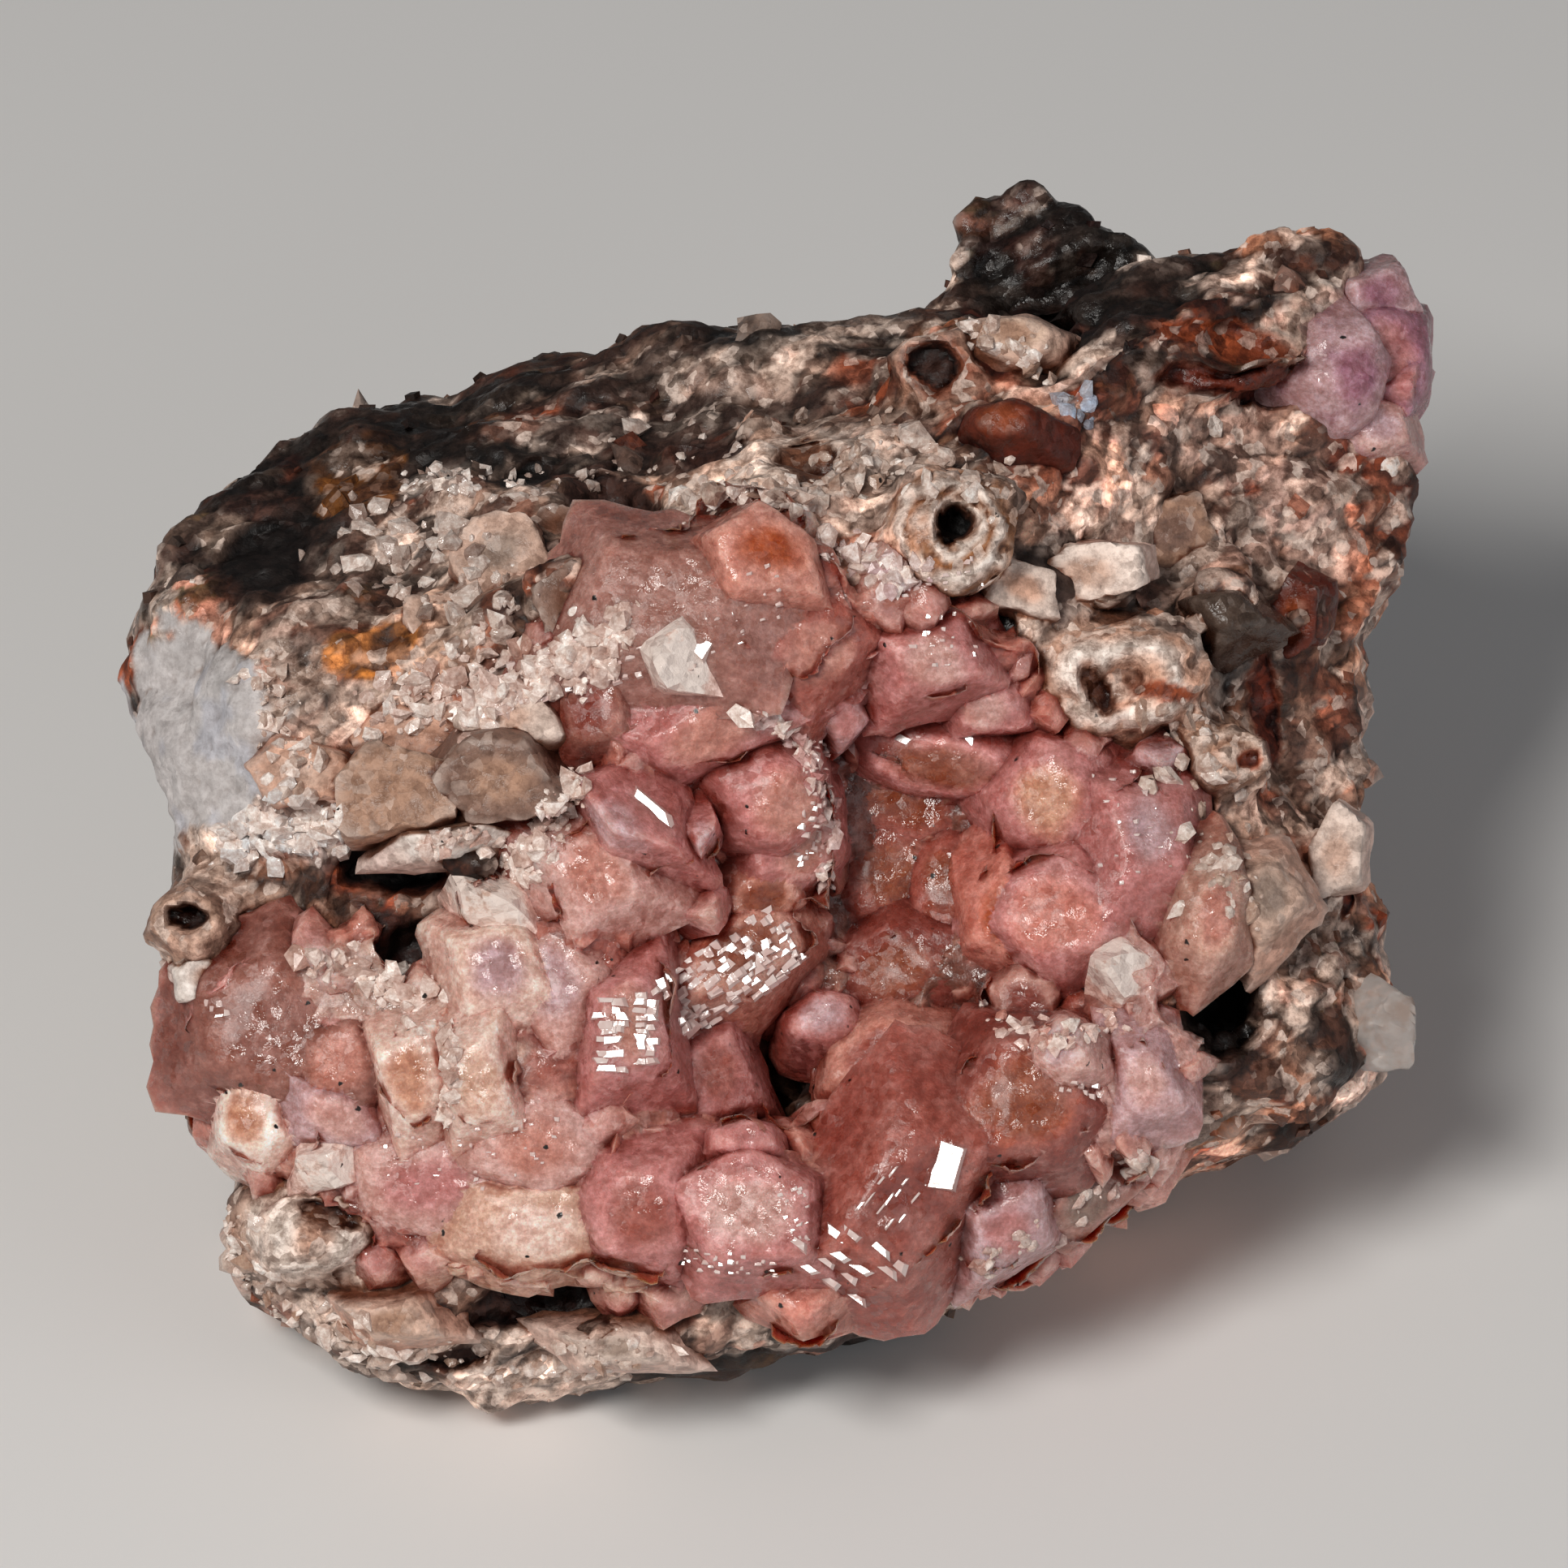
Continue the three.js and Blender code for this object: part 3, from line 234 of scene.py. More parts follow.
# Round growths and hollows in the rock: centre, half width, half height, turn, how far it stands out,
# its rings, the share of it that is hollow, how deep that is, and the tones of rings and hollow.
NODULES = [
    # Black and umber hollow tones are partly painted shade in the pits, slots and gaps.
    ("ring_nodule", 7.3, 11.2, 3.3, 3.7, 10, 0.9, 3, 0.16, 1.6, "white", "ochre", "black"),
    ("top_nodule", 6.9, 18.8, 2.5, 1.9, -10, 0.6, 1, 0.55, 1.1, "cream", "rust", "umber"),
    ("rim_pit", 1.2, 14.3, 2.6, 1.8, 0, 0.4, 1, 0.6, 1.0, "white", "tan", "brown"),
    ("leaf_hollow", -7.9, 12.6, 3.0, 1.7, -14, 0.1, 0, 0.9, 0.8, "grey", "smoke", "umber"),
    ("broad_nodule", 15.0, 4.5, 5.2, 3.4, -12, 0.9, 2, 0.0, 0.0, "white", "peach", "brown"),
    ("broad_slot", 13.9, 4.3, 0.75, 1.6, 28, 0.0, 0, 0.85, 0.8, "rust", "tan", "brown"),
    ("broad_stain", 17.0, 4.1, 1.8, 0.5, -8, 0.0, 0, 0.85, 0.1, "orange", "rust", "rust"),
    ("dot_nodule", 19.9, 1.3, 2.7, 2.3, 0, 0.7, 2, 0.0, 0.0, "pale", "tan", "tan"),
    ("rust_dot", 20.9, 1.1, 0.6, 0.5, 0, 0.0, 0, 0.9, 0.3, "rust", "rust", "rust"),
    ("left_nodule", -26.4, -6.0, 2.6, 2.2, 0, 0.7, 2, 0.34, 1.1, "cream", "taupe", "umber"),
    ("slot_nodule", -21.0, -20.2, 3.8, 2.7, -10, 0.9, 1, 0.0, 0.0, "peach", "white", "brown"),
    ("slot", -20.2, -19.2, 2.0, 0.55, -16, 0.0, 0, 0.85, 0.8, "brown", "tan", "brown"),
    ("plate_hole", -17.5, -3.7, 2.6, 1.3, -6, 0.0, 0, 0.95, 1.4, "umber", "brown", "black"),
    ("low_slot", -11.2, -23.4, 3.8, 1.3, 8, 0.0, 0, 0.95, 1.2, "brown", "brown", "umber"),
    ("low_slit", -14.8, -25.9, 1.8, 0.7, 0, 0.0, 0, 0.95, 0.7, "brown", "brown", "umber"),
    ("red_groove", 20.8, 18.2, 4.4, 1.0, -4, 0.0, 0, 0.95, 1.2, "rust", "rust", "ember"),
    ("red_band", 20.4, 20.3, 4.2, 0.8, -10, 0.0, 0, 0.9, 0.5, "rust", "rust", "rust"),
    ("side_slit", 9.9, 6.0, 0.7, 2.2, 4, 0.0, 0, 0.95, 1.2, "ember", "ember", "black"),
    ("red_vein", 21.8, 3.5, 0.7, 3.2, 12, 0.0, 0, 0.9, 0.5, "rust", "rust", "ember"),
    ("rust_slit", 25.5, -4.5, 0.5, 1.5, 0, 0.0, 0, 0.9, 0.5, "rust", "rust", "ember"),
    ("flank_hole", 19.5, -9.9, 2.2, 2.5, -20, 0.0, 0, 0.95, 1.8, "umber", "umber", "black"),
    ("top_gap", 11.9, 20.8, 1.2, 1.8, 10, 0.0, 0, 0.95, 1.6, "umber", "umber", "black"),
    ("dark_spot", -23.4, 10.4, 2.6, 2.2, 20, 0.0, 0, 0.9, 0.6, "umber", "umber", "black"),
    ("slope_pit", -11.6, 14.2, 1.6, 0.9, 20, 0.0, 0, 0.9, 0.6, "umber", "umber", "black"),
    ("crest_pit", -3.2, 15.4, 2.2, 0.9, 6, 0.0, 0, 0.9, 0.6, "umber", "umber", "umber"),
]

# Faces that catch the light: centre of each group, its width, height and turn, its columns and
# rows, the width and height of one face, and how unevenly they lie.
GLINTS = [
    ("parquet", -2.4, -8.4, 6.4, 3.0, 34, 15, 8, 0.5, 0.34, 0.62),
    ("striated_left", -7.7, -10.9, 1.0, 3.6, 0, 2, 11, 0.62, 0.3, 0.36),
    ("striated_right", -6.2, -10.8, 0.9, 3.2, 0, 2, 10, 0.56, 0.28, 0.36),
    ("mirror", 6.8, -16.8, 2.4, 1.9, -8, 1, 1, 2.4, 1.9, 0),
    ("mirror_dashes", 4.8, -18.2, 2.6, 2.2, 52, 5, 3, 0.5, 0.09, 0.3),
    ("stair", 2.7, -21.0, 3.8, 3.0, -36, 3, 5, 0.95, 0.3, 0.25),
    ("plate_right", 0.5, -19.0, 1.4, 2.4, 20, 4, 6, 0.2, 0.14, 0.6),
    ("plate_low", -2.4, -21.2, 4.4, 1.0, -8, 12, 3, 0.2, 0.14, 0.7),
    ("shelf_left", 5.3, 2.0, 0.6, 0.4, -30, 1, 1, 0.6, 0.3, 0),
    ("shelf_right", 8.2, 2.0, 0.6, 0.4, -30, 1, 1, 0.5, 0.4, 0),
    ("glassy_rim", 13.1, -13.5, 2.0, 0.7, -10, 6, 2, 0.24, 0.18, 0.5),
    ("block_specks", 7.3, 6.4, 2.6, 2.2, 0, 5, 4, 0.2, 0.16, 0.9),
    ("wing_facet", -6.0, -1.0, 2.0, 0.5, -38, 1, 1, 1.9, 0.4, 0),
    ("chip_glint", -3.7, 6.1, 0.8, 1.0, 60, 1, 1, 0.9, 0.7, 0),
    ("thumb_rim", 1.3, -0.9, 0.9, 6.0, -6, 3, 16, 0.26, 0.2, 0.8),
    ("ridge", -10.1, 4.9, 7.6, 2.2, 15, 16, 6, 0.34, 0.22, 0.8),
    ("vein", -11.0, -2.5, 1.2, 3.0, -34, 4, 8, 0.3, 0.2, 0.8),
    ("left_mass", -25.2, -9.9, 1.6, 0.9, 0, 3, 3, 0.3, 0.2, 0.7),
    ("hood_specks", -1.6, 7.6, 4.4, 2.8, 20, 6, 4, 0.16, 0.12, 1.0),
    ("right_specks", 15.8, -2.2, 3.0, 5.4, 0, 4, 8, 0.18, 0.14, 1.0),
    ("rim_specks", 6.6, 9.2, 4.4, 1.4, 6, 8, 3, 0.22, 0.16, 0.9),
    ("low_specks", -13.8, -16.4, 7.6, 3.6, 0, 9, 5, 0.16, 0.12, 1.0),
]

# The mauve crystals on the corner and the clear one on the edge, in the terms of the crystals.
CORNER_CRYSTALS = [
    ("corner_large", 27.1, 19.4, 4.6, 5.0, 10, 2.1, 0, 0, "dome", "mauve", "rose", 0),
    ("corner_top", 26.8, 22.2, 4.2, 2.6, 6, 1.9, 0, 0, "block", "lilac", "mauve", 0.1),
    ("corner_tip", 27.6, 18.0, 3.2, 2.6, 30, 2.0, 0, 0, "rhomb", "mauve", "rose", 0),
    ("corner_low", 26.9, 16.3, 3.4, 2.8, -10, 1.5, 0, 0, "block", "blush", "lilac", 0.1),
    ("corner_inner", 25.4, 18.6, 4.4, 4.8, -12, 1.9, 0, 0, "dome", "lilac", "mauve", 0.1),
]
EDGE_CRYSTAL = ("edge_crystal", 26.7, -10.8, 2.6, 3.8, 16, 2.6, 0, 0, "rhomb", "white", "white", 0)

# Flat faces of each form: compass angle and rise in degrees, and distance from the middle.
FORMS = {
    "block": [(15, 26, 0.86), (100, 30, 0.84), (195, 24, 0.86), (285, 28, 0.84), (55, 55, 0.92),
              (240, 58, 0.9), (0, 85, 0.76)],
    "tile": [(14, 4, 0.9), (80, 2, 0.88), (150, 5, 0.92), (205, 3, 0.9), (285, 4, 0.88), (0, 86, 0.72)],
    "rhomb": [(90, 38, 0.8), (210, 36, 0.82), (330, 40, 0.8), (30, 10, 0.95), (150, 8, 0.94),
              (270, 6, 0.96)],
    "dome": [(0, 24, 0.9), (60, 20, 0.92), (118, 26, 0.9), (182, 22, 0.92), (240, 25, 0.9), (302, 20, 0.92),
             (35, 56, 0.9), (150, 58, 0.88), (270, 56, 0.9), (0, 86, 0.84)],
    "plate": [(10, 16, 0.9), (75, 12, 0.92), (140, 18, 0.9), (215, 14, 0.92), (285, 12, 0.9),
              (0, 86, 0.68)],
}
SHARPNESS = {"block": 26, "rhomb": 34, "dome": 18, "plate": 26, "tile": 40}  # how tightly the faces meet

# Staining of the rock, seen on the face: centre, half width, half height, turn, tone, strength.
# Patches of all kinds start with the same five values.
STAINS = [
    # The dark rows at the top, the spur, the back, the recess, the flank hole and underneath are partly
    # painted shade.
    ("grey_top", -10, 17.8, 20, 4.2, 16, "smoke", 0.85),
    ("dark_crest", -6, 15.6, 9.0, 1.6, 12, "umber", 0.75),
    ("olive_slope", -18, 7.4, 7, 3.2, 20, "olive", 0.85),
    ("dark_slope", -23.0, 10.6, 5.0, 3.0, 24, "umber", 0.9),
    ("mauve_grey", -26.4, 10.6, 2.0, 1.8, 0, "grey", 0.7),
    ("dark_flank", -29.0, 7.4, 1.6, 2.4, -30, "umber", 0.7),
    ("chalk_foot", -21.4, -2.2, 3.0, 1.9, -20, "chalk", 0.95),
    ("ochre_spot", -19.4, 13.9, 2.6, 1.7, 20, "ochre", 0.9),
    ("ochre_low", -18.6, 6.2, 2.8, 1.2, 20, "ochre", 0.7),
    ("ochre_crest", -13.6, 16.6, 2.2, 1.0, 16, "ochre", 0.6),
    ("grey_sparkle", -18.4, 10.2, 4.0, 2.0, 14, "grey", 0.6),
    ("top_white", -15.8, 13.8, 1.7, 0.8, 14, "white", 0.9),
    ("slope_white", -17.4, 10.8, 1.6, 1.0, 0, "pale", 0.8),
    ("left_white", -29.0, 10.0, 1.3, 1.3, 0, "pale", 0.9),
    ("grey_blocks", -12.2, 10.4, 4.2, 3.4, 0, "cream", 0.8),
    ("brown_blocks", -8.6, 8.4, 3.2, 2.6, 0, "brown", 0.8),
    ("crest_white", -2.0, 12.6, 3.4, 1.2, 10, "pale", 0.7),
    ("white_ridge", -10.1, 5.0, 4.6, 1.5, 16, "white", 1.0),
    ("cream_shelf", -17.6, 2.4, 5.6, 1.9, -4, "pale", 0.85),
    ("shelf_ochre", -19.0, 4.2, 3.0, 0.8, 6, "ochre", 0.6),
    ("brown_plates", -15.6, -1.0, 5.4, 2.2, 0, "taupe", 0.8),
    ("plate_foot", -17.0, -4.2, 4.2, 1.5, 0, "rust", 0.9),
    ("brown_shelf", -22.6, -4.8, 3.4, 1.2, 0, "brown", 0.8),
    ("dark_recess", -16.4, -7.0, 2.2, 2.4, 0, "ember", 0.9),
    ("cream_corner", -26.0, -8.0, 2.8, 2.0, 0, "cream", 0.8),
    ("cream_centre", 5.0, 14.4, 7.4, 5.4, 0, "cream", 0.85),
    ("rust_knob", 3.6, 18.6, 1.8, 1.4, 0, "rust", 0.8),
    ("red_dome", 9.8, 16.3, 2.8, 1.9, -10, "ember", 0.9),
    ("rust_right", 11.4, 12.6, 1.4, 2.2, 0, "rust", 0.5),
    ("rim_cream", 10.4, 20.2, 3.2, 1.4, 0, "pale", 0.8),
    # painted_silver_glint is a painted glint.
    ("painted_silver_glint", 13.2, 16.8, 1.3, 0.8, 0, "ice", 0.9),
    ("silver_dark", 13.7, 16.0, 0.9, 0.7, 0, "black", 0.9),
    ("spur_dark", 12.0, 24.0, 6.4, 5.4, 0, "umber", 0.85),
    ("spur_red", 11.4, 25.6, 2.4, 1.6, -30, "ember", 0.7),
    ("back_grey", 18.2, 22.8, 6.0, 2.0, 6, "smoke", 0.75),
    ("red_fold", 20.6, 18.4, 5.4, 2.4, 0, "rust", 0.85),
    ("right_blush", 19.0, 14.2, 8.0, 3.4, 0, "blush", 0.95),
    ("rust_cheek", 27.0, 12.8, 2.4, 3.8, 0, "rust", 0.7),
    ("mauve_corner", 26.6, 20.8, 2.8, 3.6, 0, "mauve", 0.8),
    ("top_tan", 23.4, 24.2, 4.8, 2.0, 0, "tan", 0.8),
    ("pale_middle", 13.0, 10.0, 5.6, 3.6, 0, "pale", 0.8),
    ("tan_middle", 17.8, 11.8, 3.2, 2.2, 0, "tan", 0.8),
    ("glass_dark", 20.2, 6.6, 2.4, 2.8, 0, "smoke", 0.9),
    ("red_patch", 23.2, 7.9, 2.1, 2.8, 0, "ember", 0.9),
    ("rim_tan", 20.0, 1.0, 3.4, 3.0, 0, "tan", 0.8),
    ("right_pale", 24.6, 2.0, 3.4, 5.2, 0, "cream", 0.75),
    ("right_low", 21.4, -5.2, 4.4, 4.8, 0, "pale", 0.75),
    ("flank_dark", 19.4, -10.0, 2.4, 3.0, -20, "umber", 0.9),
    ("right_foot", 23.0, -12.8, 4.6, 4.0, 0, "taupe", 0.7),
    ("ochre_foot", 19.0, -15.8, 3.2, 1.8, 10, "ochre", 0.6),
    ("pink_foot", 15.6, -17.6, 4.6, 2.4, 30, "blush", 0.8),
    ("under_band", -4.0, -25.2, 15, 2.2, 8, "olive", 0.9),
    ("under_dark", -9.6, -22.8, 4.0, 1.5, 6, "ember", 0.8),
    ("left_rim", -20.5, -21.6, 7.0, 4.0, -14, "pale", 0.9),
    ("low_white", -10.6, -26.0, 4.4, 1.4, 4, "pale", 0.8),
]

# Parts of the rock painted dark all over, partly its own dark stone and partly painted shade where
# it faces away from the light, lies underneath or sits in a recess: centre, half width, half height,
# turn, strength.
DARK_AND_SHADED = [
    ("spur", 12.4, 24.4, 6.6, 4.6, 0, 1.0),
    ("top", -11.4, 19.6, 16.0, 3.0, 16, 0.9),
    ("back_top", 17.6, 22.4, 7.0, 2.2, 4, 0.9),
    ("crest", -6.0, 16.4, 8.0, 1.2, 10, 0.6),
    ("slope", -23.6, 11.0, 4.4, 2.6, 24, 0.8),
    ("red_fold", 20.6, 18.4, 5.0, 1.3, -4, 0.75),
    ("flank", 19.4, -10.2, 2.4, 3.2, -20, 0.8),
    ("low_slot", -9.6, -22.9, 4.4, 1.4, 6, 0.7),
    ("plate_foot", -17.2, -4.4, 3.6, 1.2, -4, 0.7),
    ("recess", -16.2, -7.2, 1.8, 2.2, 0, 0.6),
    ("left_top", -28.0, 8.2, 1.9, 2.6, -30, 0.7),
    ("under", -1.0, -25.4, 12.0, 1.8, 8, 0.75),
    ("right_foot", 22.0, -13.4, 3.0, 3.0, 0, 0.4),
]

# Patches of rust and pale calcite on top of everything else, in the terms of the stains.
FINISH = [
    ("cream_shelf", -17.4, 2.7, 4.8, 1.6, -4, "pale", 0.8),
    ("left_rim", -20.8, -22.4, 5.4, 1.9, -24, "snow", 0.7),
    ("left_rim_top", -25.0, -18.2, 1.8, 1.6, 0, "snow", 0.6),
    ("right_white", 12.6, 9.2, 6.6, 2.4, 0, "snow", 0.9),
    ("centre_white", 3.4, 14.0, 5.0, 1.5, 0, "snow", 0.6),
    ("right_cream", 21.8, 11.0, 4.4, 2.6, 10, "petal", 0.8),
    ("low_cream", 21.8, -4.4, 3.4, 3.6, 0, "pale", 0.45),
    ("edge_rust", 24.6, 4.8, 1.4, 0.6, -20, "rust", 0.8),
    ("edge_vein", 23.6, 0.6, 0.5, 2.2, 10, "rust", 0.7),
    ("middle_rust", 11.8, 13.2, 1.0, 2.0, 20, "rust", 0.6),
    ("centre_rust", 1.6, 12.4, 2.4, 0.7, 8, "rust", 0.6),
    ("blush_rust", 24.4, 13.4, 2.0, 0.7, 30, "orange", 0.6),
    ("slope_rust", -21.4, 7.4, 2.2, 1.2, 30, "ember", 0.6),
    ("slope_spark", -24.8, 11.4, 1.5, 1.0, 0, "grey", 0.8),
    ("top_spark", -15.8, 13.8, 1.5, 0.7, 14, "snow", 0.8),
    ("slot_rim", -21.2, -18.0, 2.6, 0.7, -6, "snow", 0.6),
    ("right_pale", 12.4, 8.4, 4.0, 1.4, 0, "pale", 0.5),
    ("broad_pale", 15.4, 2.6, 3.6, 1.6, -12, "snow", 0.5),
    ("far_pale", 24.4, -1.6, 1.8, 3.6, 0, "cream", 0.5),
    ("right_red", 18.6, 15.2, 2.4, 0.5, -10, "rust", 0.5),
    ("fold_blush", 21.0, 15.4, 4.4, 1.6, -6, "petal", 0.8),
    ("ochre_spot", -19.5, 13.8, 2.4, 1.5, 20, "ochre", 1.0),
    ("ochre_low", -18.4, 6.2, 2.1, 1.2, 10, "ochre", 0.9),
    ("ochre_crest", -11.6, 16.8, 1.4, 0.8, 10, "rust", 0.6),
    ("crest_red", -7.0, 17.6, 1.4, 0.7, 10, "ember", 0.7),
    ("red_block", -12.4, 12.2, 1.3, 0.9, 0, "rust", 0.6),
    ("knob", 3.6, 18.4, 1.4, 1.1, 0, "rust", 0.6),
    ("ring_left", 5.4, 12.0, 0.9, 1.8, 20, "orange", 0.5),
    ("ring_right", 9.4, 10.0, 0.7, 1.4, -20, "rust", 0.5),
    ("cheek", 27.0, 12.4, 1.8, 3.2, 0, "rust", 0.6),
    ("broad_rust", 12.2, 6.8, 1.6, 0.6, 20, "rust", 0.5),
    ("foot_stain", 18.0, -15.6, 2.4, 1.2, 20, "ochre", 0.5),
    ("shelf_stain", -19.6, -3.8, 1.4, 0.8, 0, "rust", 0.6),
    ("slot_stain", -21.4, -21.6, 1.4, 0.7, 0, "rust", 0.5),
]

CHALK = (-26.6, 2.0, 4.4, 6.0, -32)  # the smooth chalky patch at the left
WHITE_RIDGE = (-10.1, 5.0, 4.6, 1.5, 16)  # the frosted ridge above the pocket

# Stains of the crust's sheet, between its crystals, in the terms of the rock's. thumb_shade is a painted
# shadow beside the thumb; hole_wall and inner_brown are partly painted shade deep in the pocket.
BLUSHES = [
    ("left_mass", -22.5, -11.0, 5.5, 5.0, 0, "rose", 0.8),
    ("left_white", -19.0, -9.0, 3.4, 2.2, 0, "cream", 0.6),
    ("low_pink", -13.4, -17.0, 7.4, 4.0, 0, "blush", 0.8),
    ("low_peach", -12.0, -20.4, 5.0, 2.4, 0, "peach", 0.8),
    ("cream_gap", -14.6, -13.0, 3.4, 3.6, 0, "cream", 0.6),
    ("inner_brown", 5.0, -5.0, 5.0, 7.0, 0, "brown", 0.7),
    ("inner_rust", 6.8, -5.4, 1.9, 2.4, 0, "rust", 0.9),
    ("upper_mauve", 3.4, 4.0, 2.6, 2.6, 0, "mauve", 0.6),
    ("right_rose", 16.0, -1.6, 3.4, 4.6, 0, "rose", 0.7),
    ("right_pale", 16.6, -10.0, 3.4, 5.0, 0, "blush", 0.8),
    ("right_low", 15.0, -16.0, 4.0, 4.0, 30, "blush", 0.7),
    ("hole_wall", -2.4, -12.6, 3.8, 3.2, 0, "deep_salmon", 0.8),
    ("thumb_shade", 2.6, -1.0, 1.6, 5.0, 8, "ember", 0.8),
    ("foot_pink", 2.0, -21.0, 5.0, 3.0, 0, "salmon", 0.8),
    ("hood_top", -1.0, 11.2, 5.0, 1.4, 0, "cream", 0.8),
    ("low_edge", -10.0, -21.8, 8.0, 1.6, 4, "peach", 0.8),
    ("right_edge", 13.0, -19.4, 6.0, 1.8, 35, "blush", 0.8),
]


def linear(code):
    """An everyday hex colour as the shaders take it."""
    channels = (int(code[i:i + 2], 16) / 255 for i in (0, 2, 4))
    return np.array([c / 12.92 if c <= 0.04045 else ((c + 0.055) / 1.055) ** 2.4 for c in channels])


TONES = {name: linear(code) for name, code in SWATCHES.items()}


def paint(name):
    """A tone with the alpha that a shader's colour socket wants."""
    return (*TONES[name], 1.0)


# Places and numbers

def to_face(points):
    """Points in metres in the specimen's frame, as millimetres in the face frame."""
    return (np.asarray(points) / MM - FACE_MIDDLE) @ FACE_AXES.T


def from_face(points):
    """The reverse of to_face."""
    return (np.asarray(points) @ FACE_AXES + FACE_MIDDLE) * MM


def unit(vectors):
    """Vectors brought to length one. One that has no length stays as it is."""
    return vectors / np.maximum(np.linalg.norm(vectors, axis=-1, keepdims=True), 1e-12)


def heading(degrees):
    """The way that a compass angle points."""
    angle = math.radians(degrees)
    return math.cos(angle), math.sin(angle)


def square_axes(side, up):
    """Three axes square to each other: the last is up, and the first runs near to side."""
    side = unit(side - side @ up * up)
    return np.array((side, np.cross(up, side), up))


def smooth(value, start, end):
    """0 up to start and 1 from end, with an even rise between them."""
    t = np.clip((value - start) / (end - start), 0, 1)
    return t * t * (3 - 2 * t)


def blend(low, high, share):
    """What lies between low and high at a share of the way."""
    return low + (high - low) * share


def hashed(cells, seed):
    """Repeatable numbers from 0 to 1 for rows of three whole numbers."""
    x, y, z = np.moveaxis(cells.astype(np.int64).astype(np.uint32), -1, 0)
    h = x * np.uint32(374761393) + y * np.uint32(668265263) + z * np.uint32(1274126177)
    h = h + np.uint32(seed * 69069 % 2**32)
    h = (h ^ (h >> np.uint32(13))) * np.uint32(1103515245)
    return (h ^ (h >> np.uint32(16))) / 2**32


def noise(points, size, seed=0):
    """Smooth noise from -1 to 1, with lumps about size apart."""
    place = points / size
    low = np.floor(place)
    share = place - low
    share = share * share * (3 - 2 * share)
    total = 0
    for corner in itertools.product((0, 1), repeat=3):
        weight = np.prod(np.where(np.array(corner), share, 1 - share), axis=-1)
        total = total + weight * hashed(low + corner, seed)
    return 2 * total - 1


def rough_noise(points, size, seed=0, layers=3):
    """Noise with finer and fainter noise on it."""
    return sum(noise(points, size / 2**n, seed + n) / 2**n for n in range(layers))


def random_frame(seed):
    """Three axes square to each other, turned at random."""
    return np.linalg.qr(np.random.default_rng(seed).normal(size=(3, 3)))[0]


BLOCK_FRAMES = np.array([random_frame(seed) for seed in range(24)])


def leaning_blocks(points, size, seed):
    """Fills space with leaning blocks of about a size. For each point: its height on the block that
    stands out most there, three random numbers of that block, and how clearly it stands out."""
    place = points / size
    home = np.floor(place)
    best = np.full(len(points), -9.0)
    rival = best.copy()
    luck = np.zeros((len(points), 3))
    for step in itertools.product((-1, 0, 1), repeat=3):
        cell = home + step
        draw = np.column_stack([hashed(cell, seed * 10 + n) for n in range(4)])
        away = place - cell - 0.5 - BLOCK_STRAY * (draw[:, :3] - 0.5)
        frames = BLOCK_FRAMES[(draw[:, 3] * (len(BLOCK_FRAMES) - 0.01)).astype(int)]
        stands = BLOCK_RISE * draw[:, 3] - np.abs(np.einsum("nij,nj->ni", frames, away)).max(1)
        ahead = stands > best
        rival = np.where(ahead, best, np.maximum(rival, stands))
        luck[ahead] = draw[ahead, :3]
        best = np.maximum(best, stands)
    return (best - 0.1) * size, luck, best - rival


# Meshes

def corners_of(mesh):
    """A mesh's vertices, as an array."""
    flat = np.empty(len(mesh.vertices) * 3)
    mesh.vertices.foreach_get("co", flat)
    return flat.reshape(-1, 3)


def normals_of(mesh):
    """The way that a mesh's surface looks at each vertex."""
    flat = np.empty(len(mesh.vertices) * 3, np.float32)
    mesh.vertex_normals.foreach_get("vector", flat)
    return flat.reshape(-1, 3).astype(float)


def surface_of(made):
    """An object's vertices and their normals, in the face frame."""
    return to_face(corners_of(made.data)), normals_of(made.data) @ FACE_AXES.T


def neighbours(mesh):
    """Every edge of a mesh both ways: the vertices that they start from and those that they lead to."""
    edges = np.empty(len(mesh.edges) * 2, np.int32)
    mesh.edges.foreach_get("vertices", edges)
    edges = edges.reshape(-1, 2)
    return np.concatenate((edges, edges[:, ::-1])).T


def store(mesh, name, values):
    """Keeps a value, a direction or a colour for each vertex of a mesh."""
    values = np.asarray(values, np.float32)
    kind, field = STORED_AS[1 if values.ndim == 1 else values.shape[1]]
    kept = mesh.attributes.get(name) or mesh.attributes.new(name, kind, "POINT")
    kept.data.foreach_set(field, values.ravel())


def stored(mesh, name, width=1):
    """Reads back what store() kept."""
    flat = np.empty(len(mesh.vertices) * width, np.float32)
    mesh.attributes[name].data.foreach_get(STORED_AS[width][1], flat)
    return flat if width == 1 else flat.reshape(-1, width)


def store_tint(mesh, tint):
    """Keeps the tone of each vertex."""
    store(mesh, "tint", np.column_stack((tint, np.ones(len(tint)))))


def store_look(mesh, tint, frost, place, lattice=None):
    """What the materials read on each vertex: its tone, how frosted it is, where it grew, and its
    place along the axes of its own crystal. Only the vertices that a union adds aren't known."""
    store_tint(mesh, tint)
    store(mesh, "frost", frost)
    store(mesh, "place", place)
    store(mesh, "lattice", place if lattice is None else lattice)
    store(mesh, "known", np.ones(len(tint)))


def new_object(name, data):
    """A new object in the scene."""
    made = bpy.data.objects.new(name, data)
    bpy.context.scene.collection.objects.link(made)
    return made


def mesh_from(name, corners, faces):
    """A mesh in metres in the specimen's frame, from millimetres in the face frame."""
    mesh = bpy.data.meshes.new(name)
    mesh.from_pydata(from_face(corners).tolist(), [], faces)
    mesh.update()
    return mesh


def stacked(solids):
    """The corners and faces of several solids, numbered as those of one."""
    corners, faces, first = [], [], 0
    for places, sides in solids:
        corners.append(places)
        faces += [[first + v for v in side] for side in sides]
        first += len(places)
    return np.concatenate(corners), faces


